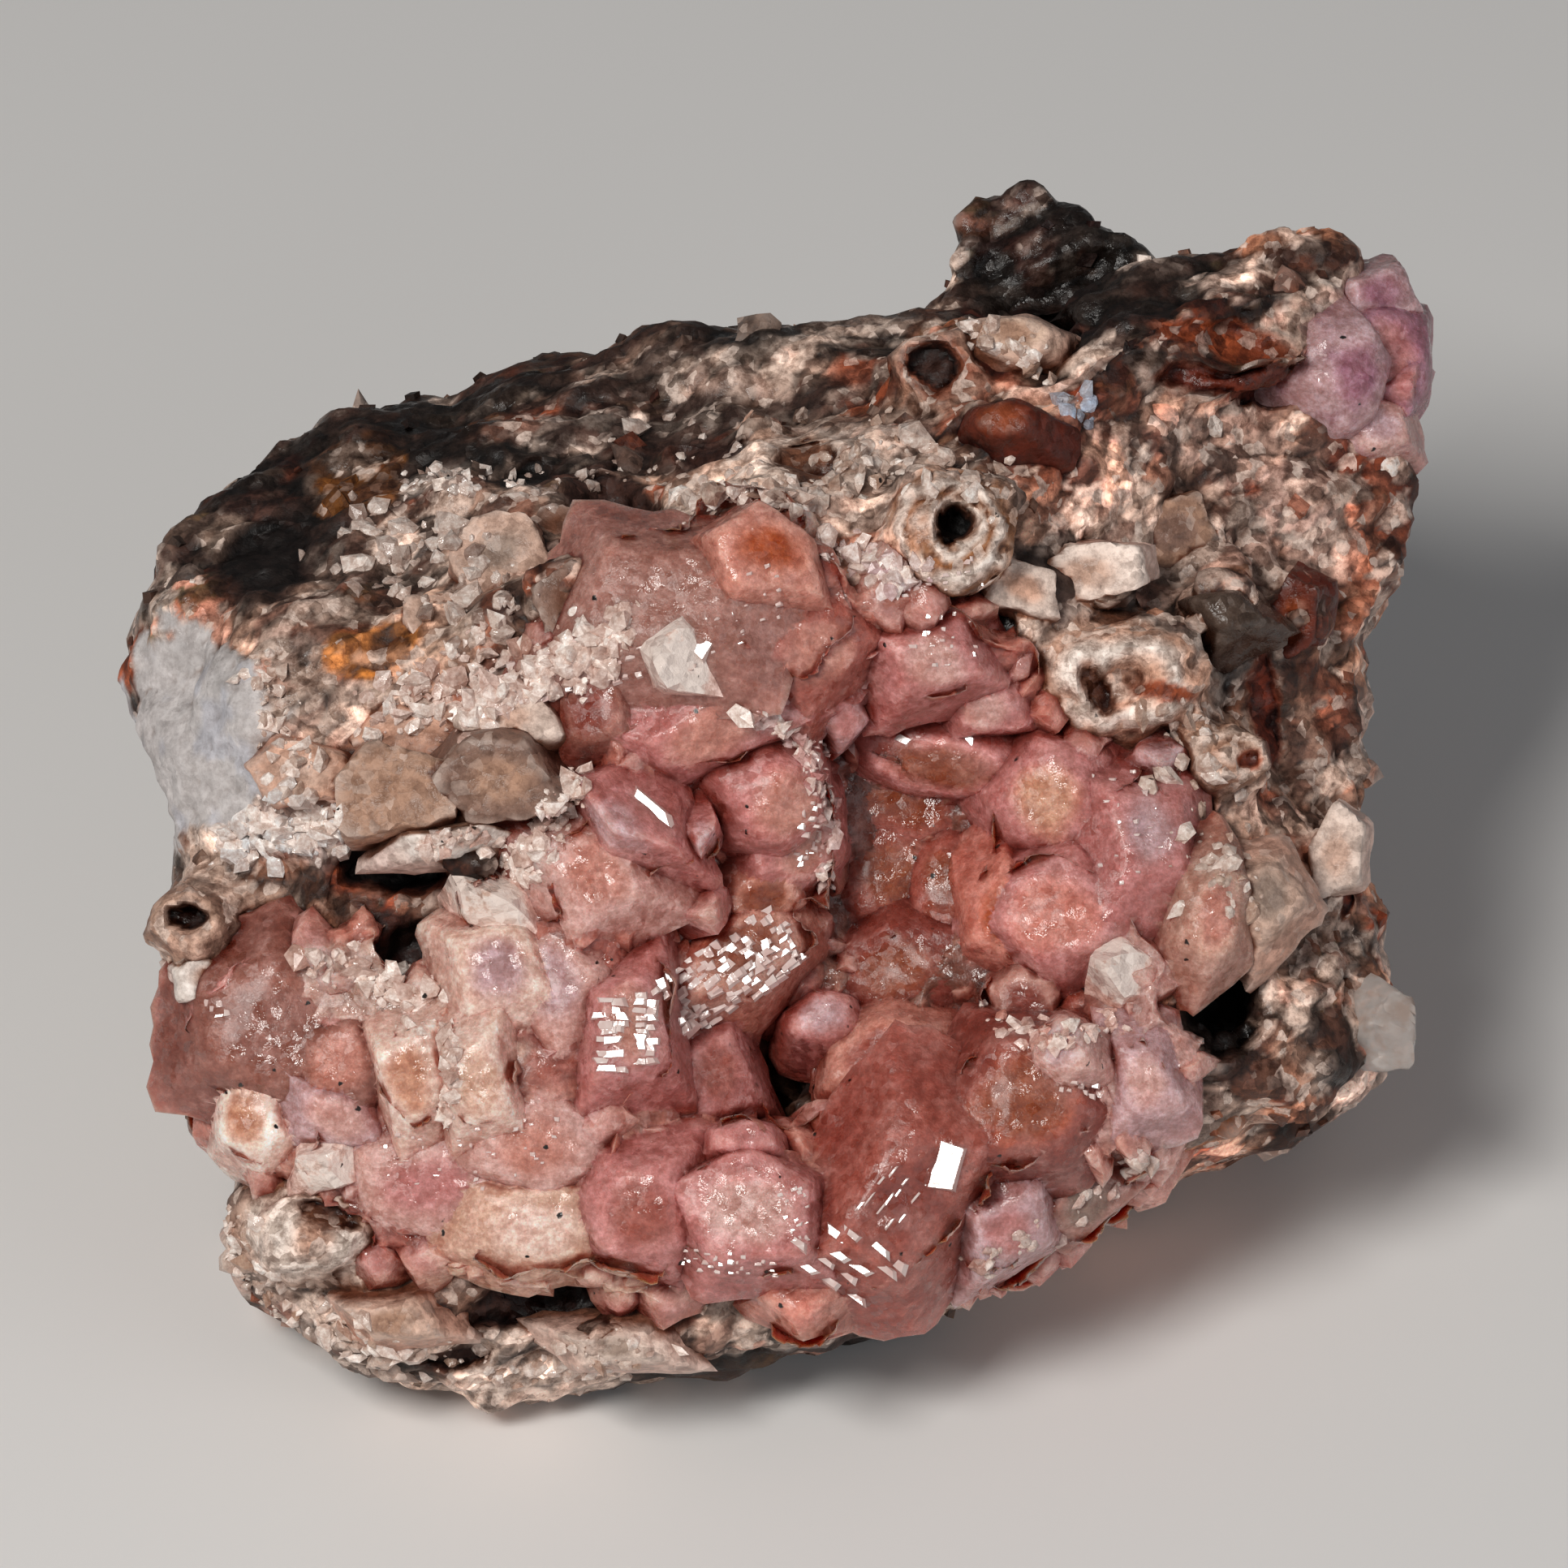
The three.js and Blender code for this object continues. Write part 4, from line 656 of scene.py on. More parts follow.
def settle(made):
    """Applies an object's modifiers to its mesh."""
    seen = made.evaluated_get(bpy.context.evaluated_depsgraph_get())
    mesh = bpy.data.meshes.new_from_object(seen)
    made.modifiers.clear()
    made.data = mesh


def remeshed(name, solid, spacing):
    """A new object with an even mesh over a CAD node's shape."""
    made = new_object(name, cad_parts[solid].data.copy())
    step = made.modifiers.new("even", "REMESH")
    step.mode = "VOXEL"
    step.voxel_size = spacing * MM
    settle(made)
    made.data.materials.clear()
    return made


def refine_front(made):
    """Splits in four those faces of an even mesh that look to the front."""
    work = bmesh.new()
    work.from_mesh(made.data)
    work.faces.ensure_lookup_table()
    middles = to_face([f.calc_center_median() for f in work.faces])
    facing = np.array([f.normal for f in work.faces]) @ FACE_AXES.T
    front = np.flatnonzero((middles[:, 2] > FINE_DEPTH) & (facing[:, 2] > 0.05))
    edges = list({e for i in front for e in work.faces[i].edges})
    bmesh.ops.subdivide_edges(work, edges=edges, cuts=1, use_grid_fill=True)
    bmesh.ops.triangulate(work, faces=[f for f in work.faces if len(f.verts) > 4])
    work.to_mesh(made.data)
    work.free()


def ground_of(*objects):
    """Something to cast rays on, in the face frame, made of the objects' meshes."""
    corners, faces = stacked(
        (to_face(corners_of(made.data)), [p.vertices for p in made.data.polygons]) for made in objects
    )
    return BVHTree.FromPolygons(corners.tolist(), faces)


def landing(ground, across, up):
    """Where the ground lies at a place on the face, and which way it looks."""
    foot, normal, *_ = ground.ray_cast(Vector((across, up, 60)), Vector((0, 0, -1)))
    if foot is None:
        foot, normal, *_ = ground.find_nearest(Vector((across, up, -6)))
    return np.array(foot), np.array(normal)


def above_rest(points):
    """How high points of the face frame lie above the resting face, in millimetres."""
    return from_face(points)[..., 2] / MM


# Crystals

def ball(steps):
    """Directions and faces of a sphere of even triangles."""
    work = bmesh.new()
    bmesh.ops.create_icosphere(work, subdivisions=steps, radius=1)
    corners = np.array([v.co for v in work.verts])
    faces = [[v.index for v in f.verts] for f in work.faces]
    work.free()
    return unit(corners), faces


BALLS = {steps: ball(steps) for steps in (1, 2, 3, 4)}


def cut(directions, form, rng, sharpness):
    """Distance of a cut solid's surface in each direction: flat faces that round into each other."""
    rows = np.array(FORMS[form] + [(0, -88, 1.0)])
    turn = np.radians(rows[:, 0] + rng.uniform(-14, 14, len(rows)))
    rise = np.radians(rows[:, 1] + rng.uniform(-7, 7, len(rows)))
    faces = np.column_stack((np.cos(turn) * np.cos(rise), np.sin(turn) * np.cos(rise), np.sin(rise)))
    reach = rows[:, 2] * rng.uniform(0.94, 1.06, len(rows))
    closeness = np.maximum(directions @ (faces / reach[:, None]).T, 0)
    return (closeness**sharpness).sum(1) ** (-1 / sharpness)


def growth(ground, across, up, turn, lean, lean_to):
    """Foot and axes of something that grows out of the ground: along its width, height and rise."""
    foot, normal = landing(ground, across, up)
    axis = unit(SURFACE_PULL * normal + (0, 0, 1))
    axis = unit(axis + math.tan(math.radians(lean)) * np.array((*heading(lean_to), 0)))
    return foot, square_axes(np.array((*heading(turn), 0)), axis)


def crystal(ground, row, lift=0.0, steps=4, broken=0.15):
    """One crystal of a table, as an object with its looks stored on its mesh. Its faces are broken
    into ledges of about that height."""
    name, across, up, width, height, turn, tall, lean, lean_to, form, rim, core, frost = row
    rng = np.random.default_rng(sum(map(ord, name)))
    directions, faces = BALLS[steps]
    reach = cut(directions, form, rng, SHARPNESS[form])
    ripple = 0.03 * rough_noise(directions * 1.6 + rng.uniform(0, 90, 3), 1.0)
    local = directions * (reach * (1 + ripple))[:, None]
    foot, axes = growth(ground, across, up, turn, lean, lean_to)
    half = np.array((SPREAD * width / 2, SPREAD * height / 2, (tall + ROOT) / 2))
    corners = foot + (local * half + (0, 0, lift + (tall - ROOT) / 2)) @ axes
    ledges = broken * leaning_blocks(corners, 1.7, len(name))[0]
    ledges += 0.5 * broken * leaning_blocks(corners, 0.7, len(name))[0]
    corners += unit(local * half) @ axes * ledges[:, None]
    mesh = mesh_from(name, corners, faces)
    out = np.linalg.norm(local[:, :2], axis=1) + 0.1 * rough_noise(corners, 1.6, 5)
    tint = blend(TONES[rim], TONES[core], 1 - smooth(out, 0.3, 0.66)[:, None])
    halo = smooth(1 - np.abs(out - rng.uniform(0.5, 0.6)) / 0.16, 0, 1)[:, None]
    if form in ("dome", "plate") and tall > 1:
        strength = 0.6 if core in RUSTY_TONES else 0.3
        tint = tint * (1 + strength * halo * (0.8, 1.1, 1.1))
    # painted shade: each crystal darker and redder towards its foot
    tint = tint * (1 - smooth(local[:, 2], 0.5, -0.1)[:, None] * (0.16, 0.28, 0.3))
    frosted = np.clip(frost + 0.3 * noise(corners, 1.1, 9) * (frost > 0), 0, 1)
    frosted = frosted * smooth(local[:, 2], -0.2, 0.5)
    store_look(mesh, tint, frosted, corners, local * half + rng.uniform(0, 50, 3))
    return new_object(name, mesh)


def united(made, others):
    """Grows the others and an object into one closed mesh, and deletes the others."""
    for other in others:
        step = made.modifiers.new(other.name, "BOOLEAN")
        step.operation = "UNION"
        step.solver = "MANIFOLD"
        step.object = other
    settle(made)
    for other in others:
        bpy.data.objects.remove(other)
    made.data.validate()
    mend(made.data)
    return made


def mend(mesh):
    """Gives the vertices that a union added the looks of the ones around them."""
    start, end = neighbours(mesh)
    looks = np.column_stack((stored(mesh, "tint", 4), stored(mesh, "frost"), stored(mesh, "lattice", 3)))
    known = stored(mesh, "known")
    while (known < 1).any():
        near = known[end] > 0
        weight = np.bincount(start[near], minlength=len(known))
        fresh = (known < 1) & (weight > 0)
        if not fresh.any():
            break
        for column in range(looks.shape[1]):
            total = np.bincount(start[near], looks[end[near], column], len(known))
            looks[fresh, column] = total[fresh] / weight[fresh]
        known[fresh] = 1
    store_look(mesh, looks[:, :3], looks[:, 4], to_face(corners_of(mesh)), looks[:, 5:])


def joined(made):
    """Puts all the meshes in the first object."""
    with bpy.context.temp_override(active_object=made[0], selected_editable_objects=made):
        bpy.ops.object.join()


# Tints

def across_patch(points, spot):
    """Places of points along and over a patch of the face, in the patch's own half widths."""
    across, up, wide, high, turn = spot
    x, y = points[:, 0] - across, points[:, 1] - up
    cos, sin = heading(turn)
    return (x * cos + y * sin) / wide, (y * cos - x * sin) / high


def patch_share(points, spot, wander):
    """How far a patch covers each point of the face, with an edge that wanders."""
    return 1 - smooth(np.hypot(*across_patch(points, spot)) + wander, 0.8, 1.05)


def painted(points, tint, patches, seed):
    """The tone of each point: the one that it has, with the patches laid over it."""
    wander = 0.34 * rough_noise(points, 2.6, seed)
    for row in patches:
        share = row[7] * patch_share(points, row[1:6], wander)
        tint = blend(tint, TONES[row[6]], share[:, None])
    return tint


def bedded(points):
    """Points squeezed along the rock's grain, so that what is drawn on them runs along it."""
    cos, sin = heading(GRAIN)
    along = points[:, 0] * cos + points[:, 1] * sin
    over = points[:, 1] * cos - points[:, 0] * sin
    return np.column_stack((along / GRAIN_STRETCH, over, points[:, 2]))


def laid(tint, name, share):
    """A pale tone over others, fainter where they are dark, so that dark stains stay dark."""
    light = 0.04 + 0.96 * smooth(tint.mean(1, keepdims=True), 0.015, 0.14)
    return blend(tint, np.maximum(TONES[name] * light, tint), share)


def stone_tint(points, facing):
    """The rock's tone: taupe and grey all round, with the stains of its face and painted shade over its
    dark parts.
    """
    mood = rough_noise(points, 9.0, 40)[:, None]
    base = blend(TONES["taupe"], TONES["tan"], np.clip(0.5 + mood, 0, 1))
    base = blend(base, TONES["smoke"], np.clip(-mood - 0.25, 0, 0.8))
    front = smooth(facing[:, 2], -0.25, 0.1)[:, None]
    tint = blend(base, painted(points, base, STAINS, 41), front)
    for size, seed in ((5.5, 44), (2.4, 48)):
        blotch = rough_noise(bedded(points), size, seed, 4)[:, None]
        tint = blend(tint, TONES["umber"], 0.65 * smooth(blotch, 0.28, 0.5))
        tint = laid(tint, "cream", 0.6 * smooth(-blotch, 0.24, 0.46))
    rust = rough_noise(points, 3.2, 52, 4)[:, None]
    right = smooth(points[:, :1], 0, 12)
    tint = laid(tint, "snow", 0.75 * right * smooth(rough_noise(points, 2.6, 53, 4)[:, None], 0.1, 0.36))
    tint = blend(tint, TONES["rust"], 0.7 * smooth(rust + 0.25 * right, 0.46, 0.62))
    wander = 0.3 * rough_noise(points, 3.0, 56)
    # painted shade over the dark parts, partly the rock's own dark stone
    shade = np.max([row[6] * patch_share(points, row[1:6], wander) for row in DARK_AND_SHADED], axis=0)
    shade *= 0.5 + 0.5 * smooth(rough_noise(bedded(points), 1.5, 58, 4), 0.45, 0.0)
    tint = tint * (1 - shade[:, None] * (0.86, 0.92, 0.93))
    tint = tint * (1 + right * RIGHT_WARMTH) * (1 - smooth(-points[:, 1:2], 14, 20) * FOOT_COOLNESS)
    return blend(tint, painted(points, tint, FINISH, 47), front)


def crust_tint(points):
    """The tone of the crust's sheet: salmon of two depths, with its own stains and some painted shade."""
    mood = rough_noise(points, 4.0, 60)[:, None]
    base = blend(TONES["salmon"], TONES["deep_salmon"], np.clip(0.5 + mood, 0, 1))
    return painted(points, base, BLUSHES, 61)


# Pieces

def build_rock():
    """The host rock: the solid's form, broken into leaning blocks of three sizes."""
    rock = remeshed("rock_matrix", "host_rock", ROCK_SPACING)
    refine_front(rock)
    points, facing = surface_of(rock)
    chalk = smooth(patch_share(points, CHALK, 0.3 * rough_noise(points, 2.2, 22, 4)), 0.2, 0.7)
    chalk *= smooth(points[:, 2], *CHALK_DEPTH) * smooth(facing[:, 2], -0.3, 0)
    tint = stone_tint(points, facing)
    rise = 0.12 * rough_noise(points, 1.2, 30)
    gloss = np.zeros(len(points))
    for size, amount, seed in ((4.6, 0.36, 1), (2.2, 0.46, 2), (1.05, 0.5, 3)):
        height, luck, clear = leaning_blocks(bedded(points), size, seed)
        rise += amount * height
        tint = block_tones(tint, luck, clear, chalk)
        gloss = np.maximum(gloss, smooth(luck[:, 1], 0.7, 0.9))
    floor = smooth(above_rest(points), 0.05, 1.0)
    tint, lift, calm = nodule_relief(points, tint)
    points += facing * (rise * floor * (1 - 0.45 * chalk) * calm)[:, None]
    points[:, 2] += lift
    places = from_face(points)
    places[:, 2] = np.maximum(places[:, 2], 0)
    rock.data.vertices.foreach_set("co", places.ravel())
    frost = patch_share(points, WHITE_RIDGE, 0.3 * noise(points, 1.0))
    powder = TONES["chalk"] * (1 + 0.22 * rough_noise(points, 0.9, 24, 4))[:, None]
    powder = blend(powder, TONES["ice"], 0.35 * smooth(rough_noise(points, 1.6, 26, 4), 0.3, 0.7)[:, None])
    store_look(rock.data, blend(tint, powder, 0.94 * chalk[:, None]), frost, points)
    store(rock.data, "gloss", gloss)
    store(rock.data, "calm", chalk)
    return rock


def nodule_relief(points, tint):
    """The rock's rings and hollows: its tones with them, how far they stand out, and how calm it is."""
    lift = np.zeros(len(points))
    calm = np.ones(len(points))
    for _, across, up, wide, high, turn, out, rings, hollow, deep, light, dark, inside in NODULES:
        away = np.hypot(points[:, 0] - across, points[:, 1] - up)
        near = (away < 1.5 * max(wide, high)) & (points[:, 2] > NODULE_DEPTH)
        part = points[near]
        far = np.hypot(*across_patch(part, (across, up, wide, high, turn)))
        far += 0.16 * rough_noise(part, 1.3, 70)
        body = 1 - smooth(far, 0.7, 1.05)
        pit = 1 - smooth(far, 0.75 * hollow, hollow + 0.06) if hollow else np.zeros(len(part))
        wave = np.cos(2 * math.pi * rings * far) if rings else np.zeros(len(part))
        lift[near] += out * body + 0.14 * wave * body - deep * pit
        calm[near] *= 1 - 0.6 * body * (rings > 0)
        band = blend(TONES[dark], TONES[light], (0.5 + 0.5 * wave)[:, None])
        banded = blend(tint[near], band, 0.8 * body[:, None])
        # the hollow's tone, partly painted shade in the dark pits
        tint[near] = blend(banded, TONES[inside], pit[:, None])
    return tint, lift, calm


def block_tones(tint, luck, clear, calm):
    """Gives each block of the rock a shade of its own, darker in the creases between blocks."""
    force = (1 - 0.85 * calm)[:, None]
    shade = np.exp(1.15 * (luck[:, :1] - 0.5) * force)
    first, second = luck[:, 1:2], luck[:, 2:]
    tint = laid(tint, "pale", 0.6 * smooth(first, 0.76, 0.82) * force)
    for name, chance in (("umber", smooth(1 - first, 0.8, 0.86)), ("rust", smooth(second, 0.92, 0.98))):
        tint = blend(tint, np.minimum(TONES[name], tint), 0.6 * chance * force)
    crease = (1 - smooth(clear, 0, 0.1))[:, None] * force
    return tint * shade * (1 - 0.45 * crease)


def build_crust(ground):
    """The crust: its sheet with each crystal grown into it, as one closed mesh."""
    crust = remeshed("pocket_calcite_crust", "pocket_crystal_crust", CRUST_SPACING)
    points, facing = surface_of(crust)
    under = smooth(-facing[:, 2], -0.1, 0.5)
    points[:, 2] -= 0.7 * under
    height, luck, clear = leaning_blocks(points, 2.3, 7)
    finer, more_luck, finer_clear = leaning_blocks(points, 1.1, 8)
    top = np.array([landing(ground, x, y)[0][2] for x, y in points[:, :2]]) + SHEET_RISE - 0.3
    points[:, 2] = np.where(under > 0, points[:, 2], np.minimum(points[:, 2], top))
    rise = 0.36 * height + 0.36 * finer
    points += facing * (rise * (1 - under))[:, None]
    crust.data.vertices.foreach_set("co", from_face(points).ravel())
    shade = np.exp(0.3 * (luck[:, :1] + more_luck[:, :1] - 1))
    crease = (1 - smooth(np.minimum(clear, finer_clear), 0, 0.1))[:, None]
    tint = crust_tint(points) * shade * (1 - 0.3 * crease)
    store_look(crust.data, tint, np.zeros(len(points)), points)
    crystals = []
    for row in CRYSTALS:
        wide, high = row[3:5]
        crystals.append(crystal(ground, row, SHEET_RISE, 4 if wide * high > 14 else 3))
    return united(crust, crystals + infill(ground))


def between_crystals(points):
    """Which points of the face lie clear of the middles of the large crystals and of the hole."""
    free = np.hypot(points[:, 0] - HOLE[0], points[:, 1] - HOLE[1]) > HOLE_REACH
    for _, across, up, wide, high, turn, *_ in CRYSTALS:
        free &= patch_share(points, (across, up, wide / 2, high / 2, turn), 0.1) < 0.5
    return free


def infill(ground):
    """Small crystals that grow between the large ones, all over the crust."""
    rng = np.random.default_rng(5)
    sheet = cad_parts["pocket_crystal_crust"]
    places, axes = surface_spots(sheet, 2600, rng, between_crystals)
    made = []
    taken = np.full((1, 3), 99.0)
    for place in places[axes[:, 2] > 0.55]:
        if len(made) >= INFILL or np.linalg.norm(taken - place, axis=1).min() < INFILL_GAP:
            continue
        taken = np.vstack((taken, place))
        size = rng.uniform(1.0, 2.8, 2)
        tones = INFILL_TONES[rng.integers(len(INFILL_TONES))]
        form = INFILL_FORMS[rng.integers(len(INFILL_FORMS))]
        turn, tall, lean, lean_to = rng.uniform((0, 0.1, 0, 0), (180, 0.6, 22, 360))
        row = (f"infill_{len(made)}", *place[:2], *size, turn, tall, lean, lean_to, form, *tones, 0.0)
        grown = crystal(ground, row, SHEET_RISE - 0.4, 2)
        around = crust_tint(to_face(corners_of(grown.data)))
        store_tint(grown.data, blend(stored(grown.data, "tint", 4)[:, :3], around, 0.6))
        made.append(grown)
    return made


def build_stones(ground):
    """The larger blocks, plates and nodules of pale calcite that show on the rock's face."""
    made = [crystal(ground, row, -0.6, 4, 0.3) for row in STONES]
    for stone, row in zip(made, STONES):
        gloss = 1.4 if row[0] == "dark_glass" else 0.7
        store(stone.data, "gloss", np.full(len(stone.data.vertices), gloss))
    joined(made)
    stones = made[0]
    stones.name = "matrix_stones"
    store(stones.data, "calm", np.full(len(stones.data.vertices), 0.6))
    return stones


def build_cluster(ground):
    """The mauve crystals on the corner, grown into each other."""
    first, *others = [crystal(ground, row) for row in CORNER_CRYSTALS]
    united(first, others)
    first.name = "corner_calcite_cluster"
    return first


def build_edge_crystal(ground):
    """The single clear crystal on the right edge."""
    made = crystal(ground, EDGE_CRYSTAL)
    made.name = "edge_calcite_crystal"
    return made


def surface_spots(made, count, rng, keep):
    """Random spots on an object's surface, in the face frame, where keep(points) allows them."""
    made.data.calc_loop_triangles()
    corners = to_face(corners_of(made.data))
    triangles = np.array([t.vertices for t in made.data.loop_triangles])
    a, b, c = (corners[triangles[:, i]] for i in range(3))
    normal = np.cross(b - a, c - a)
    area = np.linalg.norm(normal, axis=1)
    picked = rng.choice(len(area), count, p=area / area.sum())
    u, v = rng.random((2, count, 1))
    over = u + v > 1
    u, v = np.where(over, 1 - u, u), np.where(over, 1 - v, v)
    points = a[picked] + u * (b - a)[picked] + v * (c - a)[picked]
    allowed = keep(points)
    return points[allowed], unit(normal[picked])[allowed]


def scattered(name, spots, shapes, rng, sizes, tints, frosts, sink, tilt=0.35):
    """Many small solids in one object, one at each spot (point, direction)."""
    solids = []
    for (point, axis), size in zip(spots, sizes):
        shape, sides = shapes[rng.integers(len(shapes))]
        stretch = size / 2 * rng.uniform(0.7, 1.3, 3)
        up = unit(axis + rng.normal(0, tilt, 3))
        axes = square_axes(rng.normal(size=3), up)
        solids.append((point + (shape * stretch + (0, 0, -sink * size)) @ axes, sides))
    counts = [len(places) for places, _ in solids]
    corners, faces = stacked(solids)
    mesh = mesh_from(name, corners, faces)
    store_look(mesh, np.repeat(tints, counts, axis=0), np.repeat(frosts, counts), corners)
    return new_object(name, mesh)


def rhomb():
    """Corners and faces of a cleavage rhomb, the shape that calcite breaks into."""
    corners = np.array(list(itertools.product((-1.0, 1.0), repeat=3)))
    corners[:, 0] += 0.28 * corners[:, 1]
    corners[:, 1] += 0.22 * corners[:, 2]
    faces = [(0, 1, 3, 2), (4, 6, 7, 5), (0, 4, 5, 1), (2, 3, 7, 6), (0, 2, 6, 4), (1, 5, 7, 3)]
    return corners, faces


def build_grains(rock, crust):
    """Blocks and chips of calcite and rock that stand out of the lump all round."""
    rng = np.random.default_rng(11)
    near = ground_of(crust)
    bare = [CHALK, *(row[1:6] for row in NODULES + STONES)]

    def clear(points):
        far = np.array([near.find_nearest(Vector(p))[3] for p in points])
        free = (far > 1.0) & (above_rest(points) > GRAINS_ABOVE)
        for spot in bare:
            free &= (patch_share(points, spot, 0) < 0.3) | (points[:, 2] < BARE_DEPTH)
        return free

    directions, sides = BALLS[2]
    gems = [(directions * cut(directions, form, rng, 30)[:, None], sides)
            for form in ("block", "rhomb", "plate", "block", "rhomb")]
    made = []
    for name, count, shapes, sizes, shades, stray, brightest, dim, light, frost, sink in (
        ("matrix_blocks", 170, gems, (1.0, 2.6), (0.5, 1.2), 0.8, 2.0, 0.05, "pale", 0.5, 0.3),
        ("matrix_chips", 520, [rhomb()], (0.25, 0.8), (0.3, 0.9), 0, 0.8, 0.06, "white", 0.4, 0.25),
    ):
        places, axes = surface_spots(rock, count, rng, clear)
        size = rng.uniform(*sizes, len(places))
        shade = rng.uniform(*shades, (len(places), 1))
        moved = places + rng.normal(0, stray, places.shape) if stray else places
        tints = np.minimum(stone_tint(moved, axes) * shade, brightest)
        white = rng.random(len(places)) < 0.3 * smooth(tints.mean(1), dim, 0.2)
        tints[white] = TONES[light]
        made.append(scattered(name, zip(places, axes), shapes, rng, size, tints, white * frost, sink))
    return made


def build_sugar(outside, rock):
    """The small sharp crystals that stand in strings along the edges of the larger ones, and the
    frosted white crystals."""
    rng = np.random.default_rng(21)
    spots, sizes, tints = [], [], []
    for _, way, count, size, stray, light, dark in STRINGS:
        way = np.array(way)
        for share in rng.random(count):
            along = share * (len(way) - 1)
            leg = min(int(along), len(way) - 2)
            place = blend(way[leg], way[leg + 1], along - leg) + rng.normal(0, stray, 2)
            spot, axis = landing(outside, *place)
            grown = size * rng.uniform(0.35, 1.5) ** 1.5
            tint = blend(TONES[dark], TONES[light], rng.random() ** 0.7)
            if above_rest(spot) > SUGAR_ABOVE:
                spots.append((spot, axis))
                sizes.append(grown)
                tints.append(tint)
    directions, sides = BALLS[1]
    shards = [(directions * cut(directions, form, rng, 60)[:, None] * rng.uniform(0.7, 1.3, 3), sides)
              for form in ("block", "rhomb", "plate") * 4]
    sugar = scattered("sugar_crystals", spots, shards, rng, sizes, tints, np.zeros(len(spots)), 0.15, 0.9)
    joined([sugar, *(crystal(rock, row, SHEET_RISE, 3) for row in FROSTED)])
    return sugar


def facet(rng, wide, high):
    """A flat irregular face with sloping sides, standing on a wider foot."""
    ring = np.array(((-1, -1), (1, -1), (1, 1), (-1, 1), (-1, 0))) + rng.uniform(-0.36, 0.36, (5, 2))
    ring = ring[:rng.integers(4, 6)] * (wide / 2, high / 2)
    count = len(ring)
    top = np.column_stack((ring, np.zeros(count)))
    foot = np.column_stack((ring * 1.3, np.full(count, -min(wide, high))))
    sides = [(n, n + count, (n + 1) % count + count, (n + 1) % count) for n in range(count)]
    lids = [tuple(range(count)), tuple(range(2 * count - 1, count - 1, -1))]
    return np.concatenate((top, foot)), lids + sides


def build_glints(ground):
    """The small flat faces of the crystals that throw the light back."""
    rng = np.random.default_rng(3)
    toward = unit(unit(np.array(KEY_LIGHT) @ FACE_AXES.T) + (0, 0, 1))
    solids = []
    for _, across, up, wide, high, turn, columns, rows, one_wide, one_high, uneven in GLINTS:
        along = np.array(heading(turn))
        over = np.array((-along[1], along[0]))
        missing = 0.4 * min(uneven, 0.6) + 0.04 * (columns * rows > 1)
        for row, column in itertools.product(range(rows), range(columns)):
            if rng.random() < missing:
                continue
            weave = 0.6 * math.sin(5.1 * row) * (columns > 2)
            right = ((column + 0.5 + weave) / columns - 0.5) * wide
            ahead = ((row + 0.5) / rows - 0.5) * high
            right += rng.normal(0, 0.4 * uneven * wide / columns)
            ahead += rng.normal(0, 0.4 * uneven * high / rows)
            spot, normal = landing(ground, *((across, up) + right * along + ahead * over))
            size = rng.uniform(1 - 0.8 * min(uneven, 0.8), 1 + 0.5 * uneven, 2) * (one_wide, one_high)
            shape, sides = facet(rng, *size)
            axis = unit(toward + rng.normal(0, 0.04 + 0.12 * uneven, 3))
            axes = square_axes(np.array((*along, 0.0)), axis)
            solids.append((spot + 0.05 * normal + shape @ axes, sides))
    corners, faces = stacked(solids)
    mesh = mesh_from("crystal_facets", corners, faces)
    store_look(mesh, np.tile(TONES["pale"], (len(corners), 1)), np.full(len(corners), 0.5), corners)
    return new_object("crystal_facets", mesh)


def mark_edges(made):
    """Stores on each vertex how far it stands out from the ones around it."""
    corners, facing = surface_of(made)
    start, end = neighbours(made.data)
    away = corners[start] - corners[end]
    stands = (away * facing[start]).sum(1) / np.maximum(np.linalg.norm(away, axis=1), 1e-6)
    count = np.maximum(np.bincount(start, minlength=len(corners)), 1)
    stands = np.bincount(start, stands, len(corners)) / count
    around = np.bincount(start, stands[end], len(corners)) / count
    store(made.data, "edge", blend(stands, around, 0.5))


def mark_crevice_shade(pieces):
    """Stores on each vertex how closed in it is by the pieces around it, for painted crevice shade."""
    blockers = ground_of(*pieces)
    count = np.arange(CREVICE_RAYS)
    turns = count * math.pi * (3 - math.sqrt(5))
    rise = np.sqrt(1 - (count + 0.5) / CREVICE_RAYS)
    flat = np.sqrt(1 - rise**2)
    fan = np.column_stack((flat * np.cos(turns), flat * np.sin(turns), rise))
    for made in pieces:
        corners, facing = surface_of(made)
        closed = np.zeros(len(corners))
        helper = np.where(np.abs(facing[:, :1]) < 0.8, [[1.0, 0, 0]], [[0, 1.0, 0]])
        side = unit(np.cross(facing, helper))
        ahead = np.cross(facing, side)
        starts = (corners + 0.06 * facing).tolist()
        for right, front, up in fan:
            ways = (right * side + front * ahead + up * facing).tolist()
            for i, (start, way) in enumerate(zip(starts, ways)):
                far = blockers.ray_cast(start, way, CREVICE_REACH)[3]
                if far is not None:
                    closed[i] += 1 - far / CREVICE_REACH
        store(made.data, "crevice_shade", closed / CREVICE_RAYS)


# Node trees

def feed(tree, socket, value):
    """Links a socket to another, or sets its own value."""
    if isinstance(value, bpy.types.NodeSocket):
        tree.links.new(value, socket)
    else:
        socket.default_value = value


def fill(tree, made, inputs):
    """Feeds several inputs of a node."""
    for name, value in inputs.items():
        feed(tree, made.inputs[name], value)


def node(tree, kind, inputs=None, **settings):
    """A new node with its settings and inputs."""
    made = tree.nodes.new(kind)
    for name, value in settings.items():
        setattr(made, name, value)
    fill(tree, made, inputs or {})
    return made


